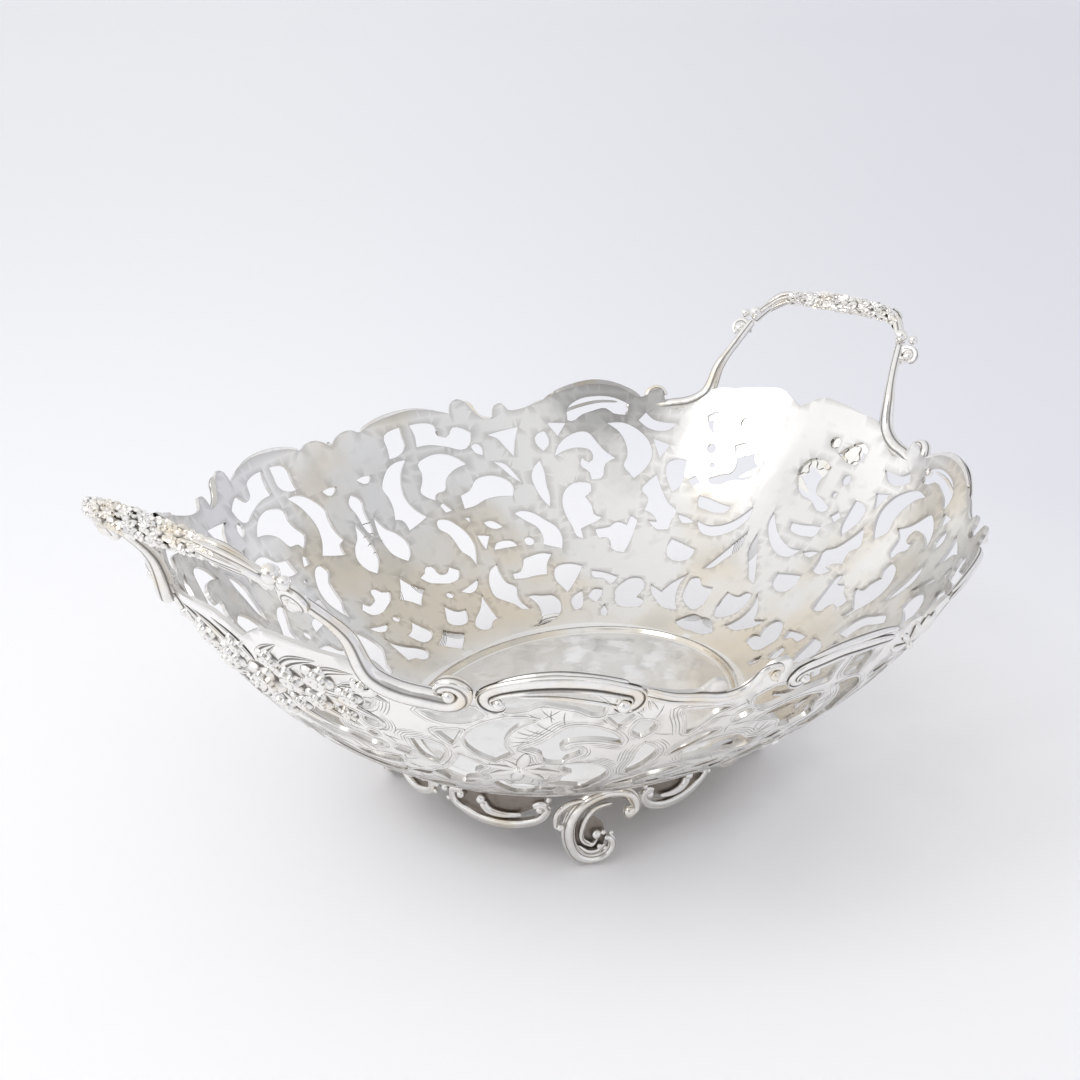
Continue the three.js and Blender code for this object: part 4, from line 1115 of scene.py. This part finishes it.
def apron(middle, reach):
    """Two facing C scrolls with leaves and balls, over a web painted dark as shade; reach is in degrees to
    each side.
    """
    def leaf_thick(u):
        return (1.5 - 0.9 * u) * rounded(u, 0.1)

    def make(shape):
        for side in (-1, 1):
            def at(share, drop, out=0):
                return apron_spot(middle + side * share * reach, drop * APRON_DROP, out)
            outer = [(0.84, 0.46), (0.92, 0.36), (0.97, 0.5), (0.92, 0.76), (0.76, 0.96), (0.54, 1),
                     (0.3, 0.86), (0.13, 0.56), (0.13, 0.28), (0.24, 0.24)]
            leaf = [(0.42, 0.4), (0.46, 0.62), (0.6, 0.74), (0.76, 0.68)]
            balls = [(0.9, 0.5, 1.4), (0.22, 0.36, 1.4), (0.41, 0.36, 1.6), (0.05, 0.34, 1.2),
                     (0.08, 0.62, 0.9), (0.97, 0.2, 1)]
            rod(shape, [at(*place) for place in outer], swelling(1.7, 0.65, 0.03), 90, 20, 4, 0.1)
            rod(shape, [at(*place, 0.4) for place in leaf], leaf_thick, 30, 15, 3, 0.08)
            for share, drop, radius in balls:
                ball(shape, at(share, drop, 0.5), radius)

        def web(u, w):
            share = 2 * u - 1
            hang = APRON_DROP * (0.35 + 0.55 * abs(math.sin(math.pi * share)))
            turn = 2 * math.pi * w
            drop = hang * (0.5 - 0.5 * math.cos(turn)) + 0.3
            return apron_spot(middle + 0.94 * share * reach, drop, -0.9 + 0.3 * math.sin(turn))
        # the web is painted dark all over as the shade behind the scrolls
        wrapped(shape, web, 60, 12, lambda u, w: 1)
    return make


# The studio

def plain_floor():
    """A pale round floor that sweeps up far behind the basket, and takes its soft shadow."""
    shape = new_shape()
    flat_reach = 9
    sweep = 3

    def spot(u, w):
        bend = max(0, 2 * u - 1) * math.pi / 2
        reach = flat_reach * min(2 * u, 1) + sweep * math.sin(bend)
        return Vector((*on_circle(reach, w), sweep * (1 - math.cos(bend))))
    wrapped(shape, spot, 24, 64)
    finished(shape, "studio_floor", floor_paper(), 1)


def floor_paper():
    """Matt white paper, with painted light whitest under the basket and painted shade greyer and bluer
    towards its shaded side.
    """
    painted_light_under_basket = (0.99, 0.985, 0.995, 1)
    bright_side = (0.97, 0.97, 0.985, 1)
    shaded_side = (0.82, 0.825, 0.87, 1)
    shaded_way = (0.6455, -0.7638, 0)
    recipe = Recipe(bpy.data.materials.new("studio_floor"))
    distance = recipe.node("ShaderNodeVectorMath", {"operation": "LENGTH"}, [recipe.place()], "Value")
    side = recipe.along(recipe.place(), shaded_way) * (distance + 0.5) ** -1
    # painted shade: greyer and bluer towards the shaded side
    color = recipe.blend(side.between(-0.3, 0.45), bright_side, shaded_side)
    # painted light: whitest under the basket, where its shadow falls
    color = recipe.blend(distance.between(0.14, 0.42), painted_light_under_basket, color)
    return recipe.finish(Base_Color=color, Roughness=0.9, Specular_IOR_Level=0.1)


def aimed(name, data, place, target):
    """Puts the camera or a lamp in its place and turns it to its target."""
    obj = bpy.data.objects.new(name, data)
    obj.location = place
    obj.rotation_euler = (target - place).to_track_quat("-Z", "Y").to_euler()
    bpy.context.scene.collection.objects.link(obj)
    return obj


def side_light():
    lamp = bpy.data.lights.new("soft_side_light", "AREA")
    lamp.shape = "RECTANGLE"
    lamp.size = 0.42
    lamp.size_y = 0.5
    lamp.energy = 2.4
    aimed("soft_side_light", lamp, Vector((-0.76, 0.22, 0.86)), Vector((0.13, 0.02, 0.08)))


def studio():
    """A pale room, brighter on one side and low down, with a darker part behind the camera."""
    bright_way = (-0.85, 0.3, 0.2)
    camera_way = (-0.71, -0.6, 0.42)
    bright_side = (0.97, 0.97, 0.98, 1)
    far_side = (0.68, 0.69, 0.72, 1)
    behind_camera = (0.42, 0.42, 0.43, 1)
    room = Recipe(bpy.data.worlds.new("pale_room"), "Background")
    toward = room.node("ShaderNodeTexCoord", output="Generated")

    def facing(way):
        return room.along(toward, tuple(Vector(way).normalized()))

    color = room.blend(facing(bright_way).between(-0.75, 0.75), far_side, bright_side)
    color = room.blend(facing(camera_way).between(0.9, 0.96), color, behind_camera)
    low = 1 - facing((0, 0, 1)).between(0.15, 0.6)
    room.finish(Color=color, Strength=1.02 + low * 0.35)
    bpy.context.scene.world = room.holder
    bpy.context.scene.view_settings.view_transform = "Standard"


def camera():
    """The view of the photograph, fitted to the feet, the rim and the handles."""
    place = Vector((-354.7, -281.6, 260.6)) * MM
    target = Vector((78.7, 84.6, 40)) * MM
    lens = bpy.data.cameras.new("camera")
    lens.lens = 47.55
    lens.sensor_width = 36
    bpy.context.scene.camera = aimed("camera", lens, place, target)


camera()
studio()
side_light()
plain_floor()
sheet = sheet_silver()
# the last colour of each cast silver is its painted recess shade, shared with its specks
cast = cast_silver("cast_silver", 0.92, (0.17, 0.155, 0.14, 1))
dark_cast = cast_silver("foot_silver", 0.86, (0.24, 0.2, 0.17, 1))

basket_sheet(sheet)
repeated(chasing, CORNERS, "chasing", None, sheet)
repeated(great_arch, CORNERS, "arch_moulding", "great_arch", cast)
repeated(link_scroll, CORNERS, "link_moulding", "link_scroll", cast)
repeated(small_arch, CORNERS, "low_moulding", "small_arch", cast)
repeated(handle_leg, CORNERS, "leg_casting", "handle_leg", cast)
repeated(foot, CORNERS, "foot_casting", "foot", dark_cast)
repeated(handle_grip, ENDS, "grip_casting", "handle_grip", cast)
repeated(end_spray, ENDS, "spray_casting", "flower_spray", cast)
repeated(middle_shell, SIDES, "shell_casting", "middle_shell", cast)
repeated(apron(0, 27), SIDES, "apron_casting", "apron", dark_cast)
repeated(apron(90, 37), ENDS, "apron_casting", "apron", dark_cast)
